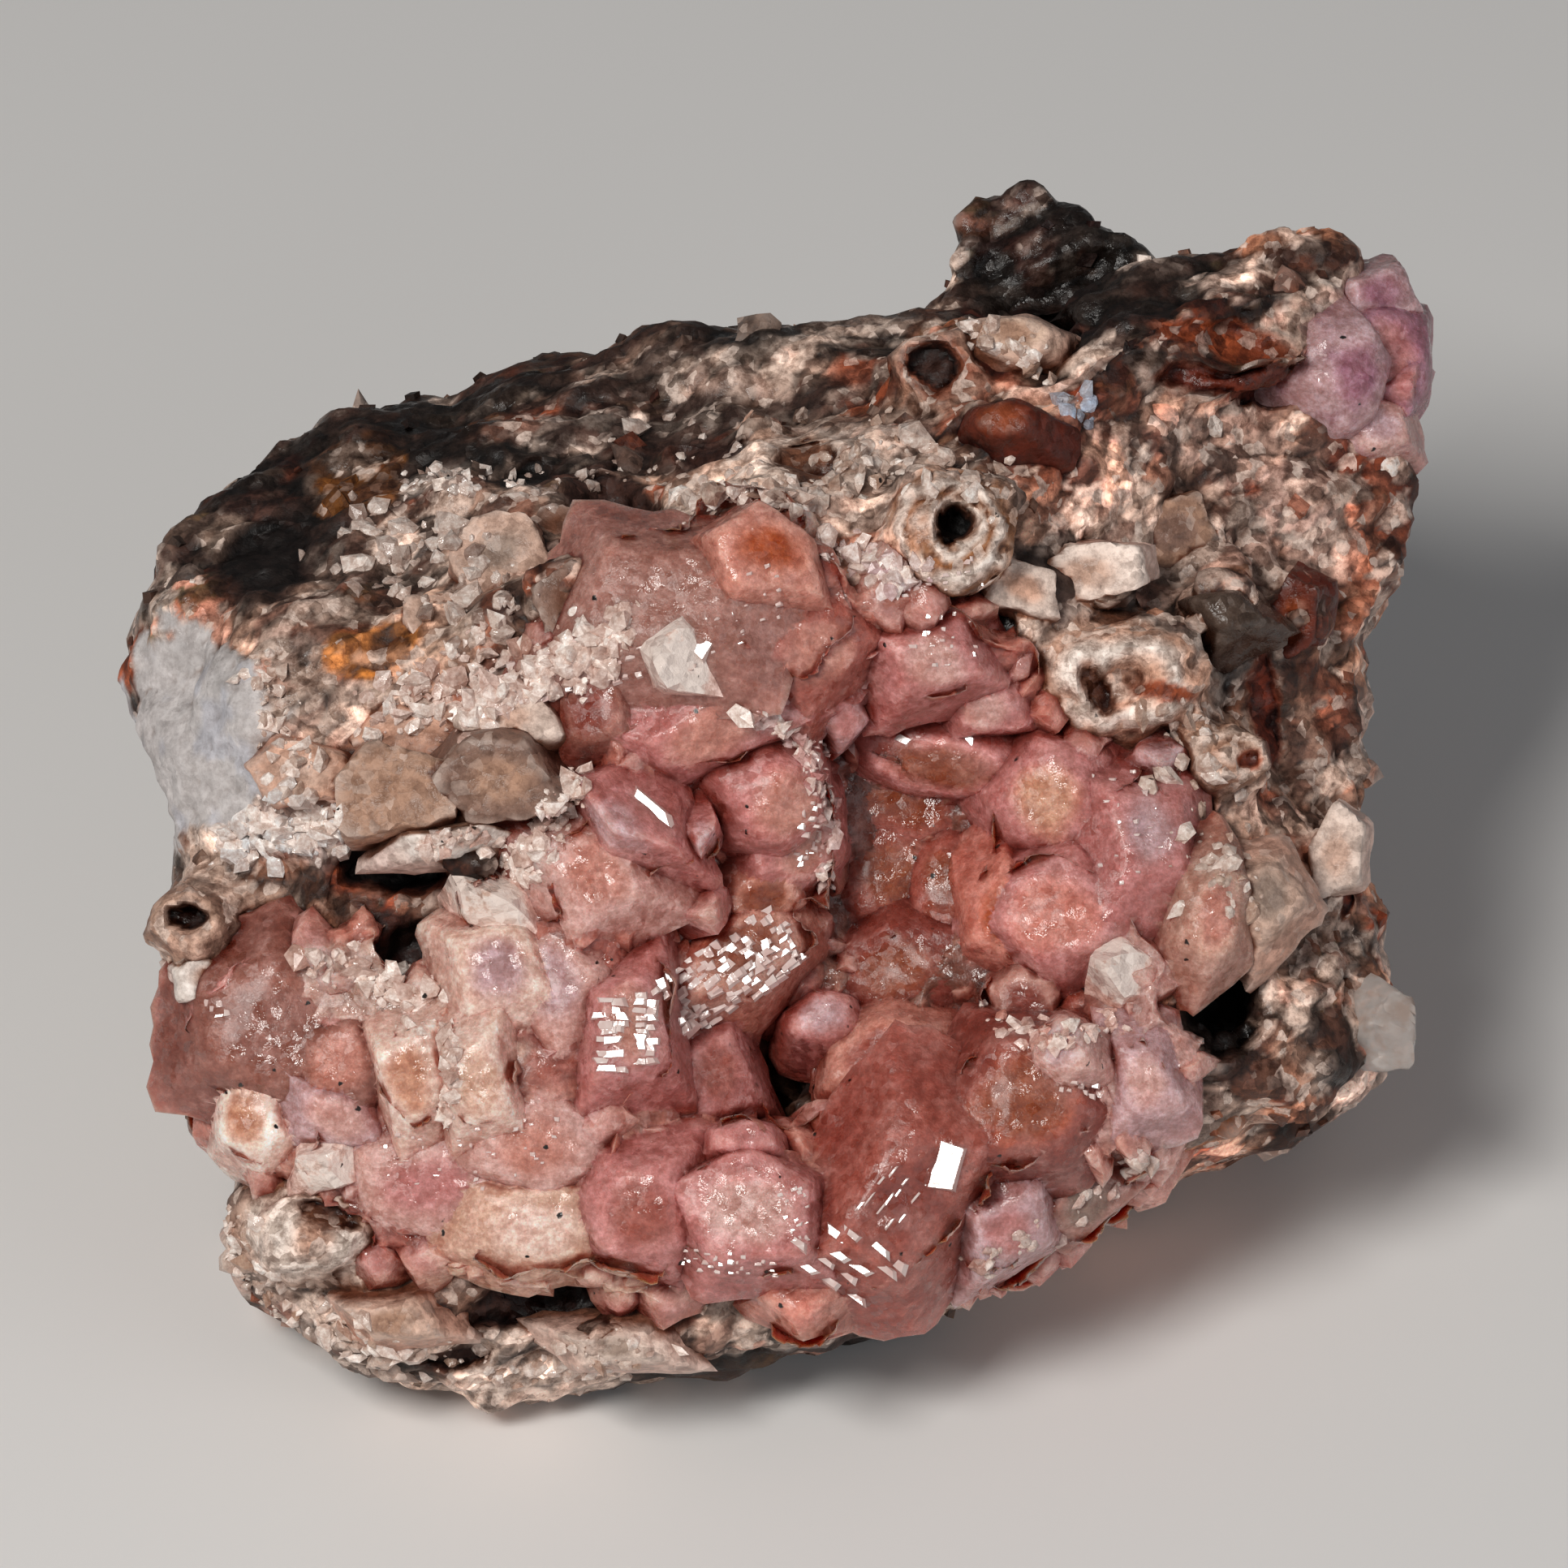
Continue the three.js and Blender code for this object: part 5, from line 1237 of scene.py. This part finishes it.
def calc(tree, operation, *values):
    """A sum on numbers."""
    return node(tree, "ShaderNodeMath", dict(enumerate(values)), operation=operation).outputs[0]


def vector(tree, operation, *values):
    """A sum on directions."""
    made = node(tree, "ShaderNodeVectorMath", dict(enumerate(values)), operation=operation)
    return made.outputs["Value" if operation == "DOT_PRODUCT" else "Vector"]


def spread(tree, place, size):
    """A place divided by a size, for textures that are one unit apart."""
    sizes = node(tree, "ShaderNodeCombineXYZ", {0: size, 1: size, 2: size}).outputs[0]
    return vector(tree, "DIVIDE", place, sizes)


def split(tree, colour):
    """The three random numbers that a colour holds, as X, Y and Z."""
    return node(tree, "ShaderNodeSeparateXYZ", {0: colour}).outputs


def mix(tree, share, a, b, kind="MIX"):
    """Two colours mixed."""
    made = node(tree, "ShaderNodeMix", {0: share, 6: a, 7: b}, data_type="RGBA", blend_type=kind)
    return made.outputs[2]


def tinged(tree, tone, by):
    """A colour multiplied by another."""
    return mix(tree, 1.0, tone, by, "MULTIPLY")


def step_up(tree, value, start, end, low=0.0, high=1.0):
    """A smooth step from low to high as value goes from start to end."""
    inputs = {"Value": value, "From Min": start, "From Max": end, "To Min": low, "To Max": high}
    return node(tree, "ShaderNodeMapRange", inputs, interpolation_type="SMOOTHSTEP").outputs["Result"]


def texture_noise(tree, place, scale, detail=2.0, roughness=0.5):
    """Cloudy noise over a place."""
    inputs = {"Vector": place, "Scale": scale, "Detail": detail, "Roughness": roughness}
    return node(tree, "ShaderNodeTexNoise", inputs).outputs


def bumped(tree, height, strength, distance=MM):
    """Normals that follow a height."""
    inputs = {"Strength": strength, "Distance": distance, "Height": height}
    return node(tree, "ShaderNodeBump", inputs).outputs[0]


# Effects that several materials share

def new_group(name, inputs, outputs):
    """An empty node group with its named sockets, and its first and last node."""
    group = bpy.data.node_groups.new(name, "ShaderNodeTree")
    for direction, sockets in (("INPUT", inputs), ("OUTPUT", outputs)):
        for label, socket in sockets.items():
            group.interface.new_socket(label, in_out=direction, socket_type="NodeSocket" + socket)
    return group, group.nodes.new("NodeGroupInput").outputs, group.nodes.new("NodeGroupOutput").inputs


def placed(tree, group, **inputs):
    """A shared effect in a material, with the material's own values."""
    return node(tree, "ShaderNodeGroup", inputs, node_tree=group).outputs


def block_group():
    """Parts space into blocks, each with a sloping top and random numbers of its own."""
    inputs = {"Place": "Vector", "Size": "Float", "Tilt": "Float", "Step": "Float"}
    outputs = {"Height": "Float", "Random": "Color"}
    group, given, result = new_group("broken_blocks", inputs, outputs)
    place = spread(group, given["Place"], given["Size"])
    wander = texture_noise(group, place, 1.1)["Color"]
    place = vector(group, "ADD", place, vector(group, "MULTIPLY", wander, (0.5, 0.5, 0.5)))
    cells = node(group, "ShaderNodeTexVoronoi", {"Vector": place, "Scale": 1.0}).outputs
    slope = vector(group, "SUBTRACT", cells["Color"], (0.5, 0.5, 0.5))
    tilt = vector(group, "DOT_PRODUCT", slope, vector(group, "SUBTRACT", place, cells["Position"]))
    tilt = calc(group, "MULTIPLY", calc(group, "MULTIPLY", tilt, 2.0), given["Tilt"])
    rise = calc(group, "SUBTRACT", split(group, cells["Color"])["Z"], 0.5)
    height = calc(group, "ADD", tilt, calc(group, "MULTIPLY", rise, given["Step"]))
    feed(group, result["Height"], calc(group, "MULTIPLY", height, given["Size"]))
    feed(group, result["Random"], cells["Color"])
    return group


def speck_group():
    """Small dark specks, thinly and unevenly scattered."""
    inputs = {"Place": "Vector", "Size": "Float", "Share": "Float"}
    group, given, result = new_group("dark_specks", inputs, {"Mask": "Float"})
    place = spread(group, given["Place"], given["Size"])
    wander = vector(group, "MULTIPLY", texture_noise(group, place, 2.2)["Color"], (0.45,) * 3)
    moved = vector(group, "ADD", place, wander)
    cells = node(group, "ShaderNodeTexVoronoi", {"Vector": moved, "Scale": 1.0}).outputs
    near = step_up(group, cells["Distance"], 0.2, 0.12)
    gathered = step_up(group, texture_noise(group, place, 0.16)[0], 0.42, 0.62)
    limit = calc(group, "MULTIPLY", given["Share"], gathered)
    chosen = calc(group, "LESS_THAN", split(group, cells["Color"])["X"], limit)
    feed(group, result["Mask"], calc(group, "MULTIPLY", near, chosen))
    return group


def crevice_shade_group():
    """Painted crevice shade, partly iron stain: darkens and reddens a tone where the surface is closed in.
    """
    inputs = {"Tone": "Color", "Depth": "Float", "Stain": "Color"}
    group, given, result = new_group("crevice_shade_tone", inputs, {"Tone": "Color"})
    deep = step_up(group, given["Depth"], 0.15, 0.62)
    stained = tinged(group, given["Tone"], given["Stain"])
    feed(group, result["Tone"], mix(group, deep, given["Tone"], stained))
    return group


def edge_light_group():
    """Painted shade and highlight: darkens a tone in hollows, from the edge value Low down, and mixes
    a highlight tone over it where the surface stands out, between the edge values From and To."""
    inputs = {"Tone": "Color", "Edge": "Float", "Hollow": "Color", "Low": "Float", "Worn": "Color",
              "From": "Float", "To": "Float", "Share": "Float"}
    group, given, result = new_group("edge_shade_and_highlight", inputs, {"Tone": "Color"})
    hollow = mix(group, step_up(group, given["Edge"], given["Low"], -0.03), given["Hollow"], PLAIN)
    highlight = step_up(group, given["Edge"], given["From"], given["To"])
    share = calc(group, "MULTIPLY", highlight, given["Share"])
    feed(group, result["Tone"], mix(group, share, tinged(group, given["Tone"], hollow), given["Worn"]))
    return group


def frost_group():
    """Lays frost over a tone, in cloudy patches."""
    inputs = {"Tone": "Color", "Frost": "Float", "Cloud": "Float", "Ragged": "Float",
              "Start": "Float", "Icing": "Color"}
    group, given, result = new_group("frosting", inputs, {"Tone": "Color"})
    cloud = calc(group, "MULTIPLY", calc(group, "SUBTRACT", given["Cloud"], 0.5), given["Ragged"])
    icy = step_up(group, calc(group, "ADD", given["Frost"], cloud), given["Start"], 0.6)
    feed(group, result["Tone"], mix(group, icy, given["Tone"], given["Icing"]))
    return group


def cloud_group():
    """Calcite that is cloudy and zoned, with growth lines and dust in it."""
    inputs = {"Place": "Vector", "Lattice": "Vector", "Tint": "Color", "Light": "Color", "Deep": "Color"}
    outputs = {"Tone": "Color", "Veil": "Float", "Dust": "Float"}
    group, given, result = new_group("calcite_clouds", inputs, outputs)
    clouds = texture_noise(group, given["Place"], 0.55, 3.0, 0.62)[0]
    veil = texture_noise(group, given["Place"], 1.9, 4.0, 0.66)[0]
    dust = texture_noise(group, given["Place"], 4.6, 2.0, 0.75)[0]
    drawn = vector(group, "MULTIPLY", given["Lattice"], (0.5, 2.0, 0.8))
    streaks = texture_noise(group, drawn, 1.0, 2.0, 0.6)[0]
    tone = mix(group, step_up(group, clouds, 0.45, 0.68, 0.0, 0.2), given["Tint"], given["Light"])
    for value, start, end, low, high in (
        (clouds, 0.3, 0.52, given["Deep"], PLAIN),
        (veil, 0.36, 0.68, (0.9, 0.85, 0.82, 1), (1.24, 1.34, 1.38, 1)),
        (streaks, 0.4, 0.62, (0.95, 0.92, 0.91, 1), (1.05, 1.07, 1.08, 1)),
        (dust, 0.36, 0.66, (0.9, 0.86, 0.85, 1), (1.12, 1.17, 1.19, 1)),
    ):
        tone = tinged(group, tone, mix(group, step_up(group, value, start, end), low, high))
    feed(group, result["Tone"], tone)
    feed(group, result["Veil"], veil)
    feed(group, result["Dust"], dust)
    return group


BLOCKS = block_group()
SPECKS = speck_group()
CREVICE_SHADE = crevice_shade_group()
EDGE_LIGHT = edge_light_group()
FROST = frost_group()
CLOUDS = cloud_group()


# Materials

def new_material(name):
    """An empty material with its shader."""
    made = bpy.data.materials.new(name)
    made.use_nodes = True
    made.node_tree.nodes.clear()
    tree = made.node_tree
    shader = node(tree, "ShaderNodeBsdfPrincipled")
    out = node(tree, "ShaderNodeOutputMaterial")
    tree.links.new(shader.outputs[0], out.inputs[0])
    return made, tree, shader


def attribute(tree, name):
    """What store() kept on the mesh, for the shader."""
    return node(tree, "ShaderNodeAttribute", attribute_name=name).outputs


def calcite_material(name, light, icing, deep, subsurface, gloss, coat):
    """Translucent calcite: cloudy and zoned, with growth lines, small bright faces, frost and specks,
    with painted shade in hollows and crevices and a painted highlight where the surface stands out.
    """
    made, tree, shader = new_material(name)
    place = attribute(tree, "place")["Vector"]
    fine = placed(tree, BLOCKS, Place=place, Size=0.42, Tilt=0.55, Step=0.2)
    clouded = placed(
        tree, CLOUDS, Place=place, Lattice=attribute(tree, "lattice")["Vector"],
        Tint=attribute(tree, "tint")["Color"], Light=paint(light), Deep=deep,
    )
    tone, veil = clouded["Tone"], clouded["Veil"]
    # painted highlight where the surface stands out, with painted shade in hollows
    highlight = mix(tree, 0.25, tinged(tree, tone, (1.6, 1.7, 1.7, 1)), paint(light))
    tone = placed(
        tree, EDGE_LIGHT, Tone=tone, Edge=attribute(tree, "edge")["Fac"], Hollow=(0.74, 0.54, 0.5, 1),
        Low=-0.2, Worn=highlight, From=0.05, To=0.32, Share=0.6,
    )["Tone"]
    tone = placed(
        tree, FROST, Tone=tone, Frost=attribute(tree, "frost")["Fac"], Cloud=veil, Ragged=0.9,
        Start=0.42, Icing=paint(icing),
    )["Tone"]
    # painted crevice shade, reddened partly as iron stain
    depth = attribute(tree, "crevice_shade")["Fac"]
    tone = placed(tree, CREVICE_SHADE, Tone=tone, Depth=depth, Stain=(0.5, 0.23, 0.18, 1))["Tone"]
    specks = placed(tree, SPECKS, Place=place, Size=0.75, Share=0.16)["Mask"]
    rough = step_up(tree, veil, 0.3, 0.75, gloss, gloss + 0.2)
    bright = step_up(tree, split(tree, fine["Random"])["X"], 0.66, 0.7, 0.0, 0.26)
    height = calc(tree, "ADD", fine["Height"], calc(tree, "MULTIPLY", clouded["Dust"], 0.1))
    fill(tree, shader, {
        "Base Color": mix(tree, specks, tone, paint("black")),
        "Roughness": calc(tree, "SUBTRACT", rough, bright),
        "Normal": bumped(tree, height, 0.5),
        "Subsurface Weight": subsurface,
        "Subsurface Radius": (1.0, 0.42, 0.34),
        "Subsurface Scale": 2.2 * MM,
        "IOR": 1.6,
        "Coat Weight": coat,
        "Coat Roughness": 0.12,
    })
    return made


def facet_material():
    """The polished faces of the crystals."""
    made, tree, shader = new_material("calcite_facets")
    place = attribute(tree, "place")["Vector"]
    veil = texture_noise(tree, place, 1.8, 3.0)[0]
    fill(tree, shader, {
        "Base Color": mix(tree, veil, paint("blush"), paint("white")),
        "Roughness": step_up(tree, veil, 0.3, 0.7, 0.06, 0.2),
        "Normal": bumped(tree, texture_noise(tree, place, 3.0, 2.0)[0], 0.12, 0.2 * MM),
        "IOR": 1.66,
        "Coat Weight": 0.8,
        "Coat Roughness": 0.05,
    })
    return made


def stone_material():
    """Iron-stained rock: the tones of its blocks, mottled, with fine grains, painted shade in hollows and
    crevices (partly iron stain), and a painted highlight where it stands out.
    """
    made, tree, shader = new_material("host_rock")
    place = attribute(tree, "place")["Vector"]
    tint = attribute(tree, "tint")["Color"]
    stir = calc(tree, "SUBTRACT", 1.0, attribute(tree, "calm")["Fac"])
    fine = placed(tree, BLOCKS, Place=place, Size=0.55, Tilt=0.4, Step=0.3)
    pick = split(tree, fine["Random"])
    grain = texture_noise(tree, place, 1.6, 4.0, 0.72)[0]
    shade = mix(tree, pick["X"], (0.7, 0.63, 0.58, 1), (1.34, 1.31, 1.28, 1))
    tone = mix(tree, stir, tint, tinged(tree, tint, shade))
    light = step_up(tree, node(tree, "ShaderNodeRGBToBW", {0: tint}).outputs[0], 0.02, 0.16)
    pale = calc(tree, "MULTIPLY", step_up(tree, pick["Y"], 0.8, 0.9, 0.0, 0.7), stir)
    tone = mix(tree, calc(tree, "MULTIPLY", pale, light), tone, paint("pale"))
    shade = mix(tree, step_up(tree, grain, 0.32, 0.66), (0.46, 0.38, 0.34, 1), (1.4, 1.37, 1.34, 1))
    mottled = calc(tree, "ADD", 0.35, calc(tree, "MULTIPLY", stir, 0.6))
    tone = mix(tree, mottled, tone, tinged(tree, tone, shade))
    tone = placed(
        tree, FROST, Tone=tone, Frost=attribute(tree, "frost")["Fac"], Cloud=grain, Ragged=1.0,
        Start=0.4, Icing=paint("white"),
    )["Tone"]
    # painted shade in hollows and a painted highlight where the surface stands out
    tone = placed(
        tree, EDGE_LIGHT, Tone=tone, Edge=attribute(tree, "edge")["Fac"], Hollow=(0.42, 0.32, 0.27, 1),
        Low=-0.25, Worn=paint("pale"), From=0.1, To=0.4, Share=calc(tree, "MULTIPLY", light, 0.45),
    )["Tone"]
    # painted crevice shade, reddened partly as iron stain
    depth = attribute(tree, "crevice_shade")["Fac"]
    gloss = calc(tree, "MULTIPLY", attribute(tree, "gloss")["Fac"], 0.3)
    height = calc(tree, "ADD", fine["Height"], calc(tree, "MULTIPLY", grain, 0.16))
    fill(tree, shader, {
        "Base Color": placed(tree, CREVICE_SHADE, Tone=tone, Depth=depth, Stain=(0.3, 0.17, 0.12, 1))["Tone"],
        "Roughness": calc(tree, "SUBTRACT", step_up(tree, grain, 0.3, 0.7, 0.5, 0.8), gloss),
        "Normal": bumped(tree, height, 0.6),
        "IOR": 1.55,
        "Specular IOR Level": 0.32,
    })
    return made


def clear_material():
    """Clear calcite, faintly milky."""
    made, tree, shader = new_material("clear_calcite")
    place = attribute(tree, "place")["Vector"]
    veil = texture_noise(tree, place, 1.2, 3.0)[0]
    fine = placed(tree, BLOCKS, Place=place, Size=0.8, Tilt=0.3, Step=0.2)
    fill(tree, shader, {
        "Base Color": mix(tree, step_up(tree, veil, 0.4, 0.7), paint("white"), paint("pale")),
        "Roughness": step_up(tree, veil, 0.35, 0.7, 0.04, 0.22),
        "Normal": bumped(tree, fine["Height"], 0.3),
        "Transmission Weight": 0.6,
        "IOR": 1.6,
    })
    return made


def floor_material():
    """The pale floor of the studio."""
    made, tree, shader = new_material("studio_floor")
    place = node(tree, "ShaderNodeTexCoord").outputs["Object"]
    cloud = texture_noise(tree, place, 8.0, 3.0)[0]
    fill(tree, shader, {
        "Base Color": mix(tree, cloud, (0.8, 0.79, 0.78, 1), (0.86, 0.85, 0.84, 1)),
        "Roughness": 0.7,
    })
    return made


def dress(made, material, slot, *nodes):
    """Gives a piece its material and its place on the specimen."""
    made.data.materials.clear()
    made.data.materials.append(material)
    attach(made, "root")
    if nodes:
        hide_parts(*nodes)


# Studio

def aim(made, way, distance):
    """Sets a camera or a lamp at a distance from the face's middle, looking at it."""
    made.location = Vector(FACE_MIDDLE * MM) + way * distance
    made.rotation_mode = "QUATERNION"
    made.rotation_quaternion = way.to_track_quat("Z", "Y")


def build_camera():
    """A long lens, square on to the crystal face."""
    data = bpy.data.cameras.new("camera")
    data.lens = 300
    data.sensor_width = 36
    camera = new_object("camera", data)
    aim(camera, Vector(FACE_AXES[2]), PHOTO_WIDTH * MM * data.lens / data.sensor_width)
    bpy.context.scene.camera = camera


def build_light(name, towards, distance, size, power, colour):
    """A soft box that looks at the specimen from the side that towards names."""
    data = bpy.data.lights.new(name, "AREA")
    data.size = size
    data.energy = power
    data.color = colour
    aim(new_object(name, data), Vector(towards).normalized(), distance)


def build_studio():
    """The lamps, the faint light all round and the floor."""
    build_light("key", KEY_LIGHT, distance=0.55, size=0.17, power=2.15, colour=(1.0, 0.97, 0.93))
    build_light("fill", FILL_LIGHT, distance=0.6, size=0.4, power=0.6, colour=(0.95, 0.97, 1.0))
    world = bpy.data.worlds.new("studio")
    world.use_nodes = True
    sky = world.node_tree.nodes["Background"]
    sky.inputs["Color"].default_value = (0.9, 0.92, 0.95, 1)
    sky.inputs["Strength"].default_value = 0.12
    bpy.context.scene.world = world
    bpy.context.scene.view_settings.view_transform = "Standard"
    mesh = bpy.data.meshes.new("studio_floor")
    corners = [(x * FLOOR_REACH, y * FLOOR_REACH, 0) for x, y in ((-1, -1), (1, -1), (1, 1), (-1, 1))]
    mesh.from_pydata(corners, [], [(0, 1, 2, 3)])
    mesh.materials.append(floor_material())
    floor = new_object("studio_floor", mesh)


def main():
    """Builds the studio and every piece, and dresses the pieces."""
    build_camera()
    build_studio()
    ground = ground_of(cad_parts["host_rock"])
    rock = build_rock()
    crust = build_crust(ground)
    stones = build_stones(ground)
    blocks, chips = build_grains(rock, crust)
    outside = ground_of(crust, rock, stones)
    glints = build_glints(outside)
    sugar = build_sugar(outside, ground)
    cluster = build_cluster(ground)
    edge = build_edge_crystal(ground)
    for made in (rock, crust, stones, blocks, cluster, edge):
        made.data.shade_smooth()
        made.data.set_sharp_from_angle(angle=math.radians(50))
        mark_edges(made)
    # the closed-in value that the materials paint as crevice shade
    mark_crevice_shade([rock, crust, stones])
    pink = calcite_material("pink_calcite", "blush", "shell", (0.86, 0.74, 0.7, 1), 0.6, 0.38, 0.14)
    mauve = calcite_material("rose_calcite", "lilac", "shell", (0.7, 0.56, 0.62, 1), 0.4, 0.34, 0.08)
    frosted = calcite_material("frosted_calcite", "snow", "snow", (0.94, 0.9, 0.88, 1), 0.0, 0.36, 0.3)
    stone = stone_material()
    dress(rock, stone, "host_rock", "host_rock")
    dress(crust, pink, "pink_calcite", "pocket_crystal_crust")
    dress(glints, facet_material(), "pink_calcite")
    dress(sugar, frosted, "pink_calcite")
    dress(stones, stone, "host_rock")
    dress(blocks, stone, "host_rock")
    dress(chips, stone, "host_rock")
    dress(cluster, mauve, "rose_calcite", "corner_crystal_cluster")
    dress(edge, clear_material(), "clear_calcite", "edge_crystal")


main()
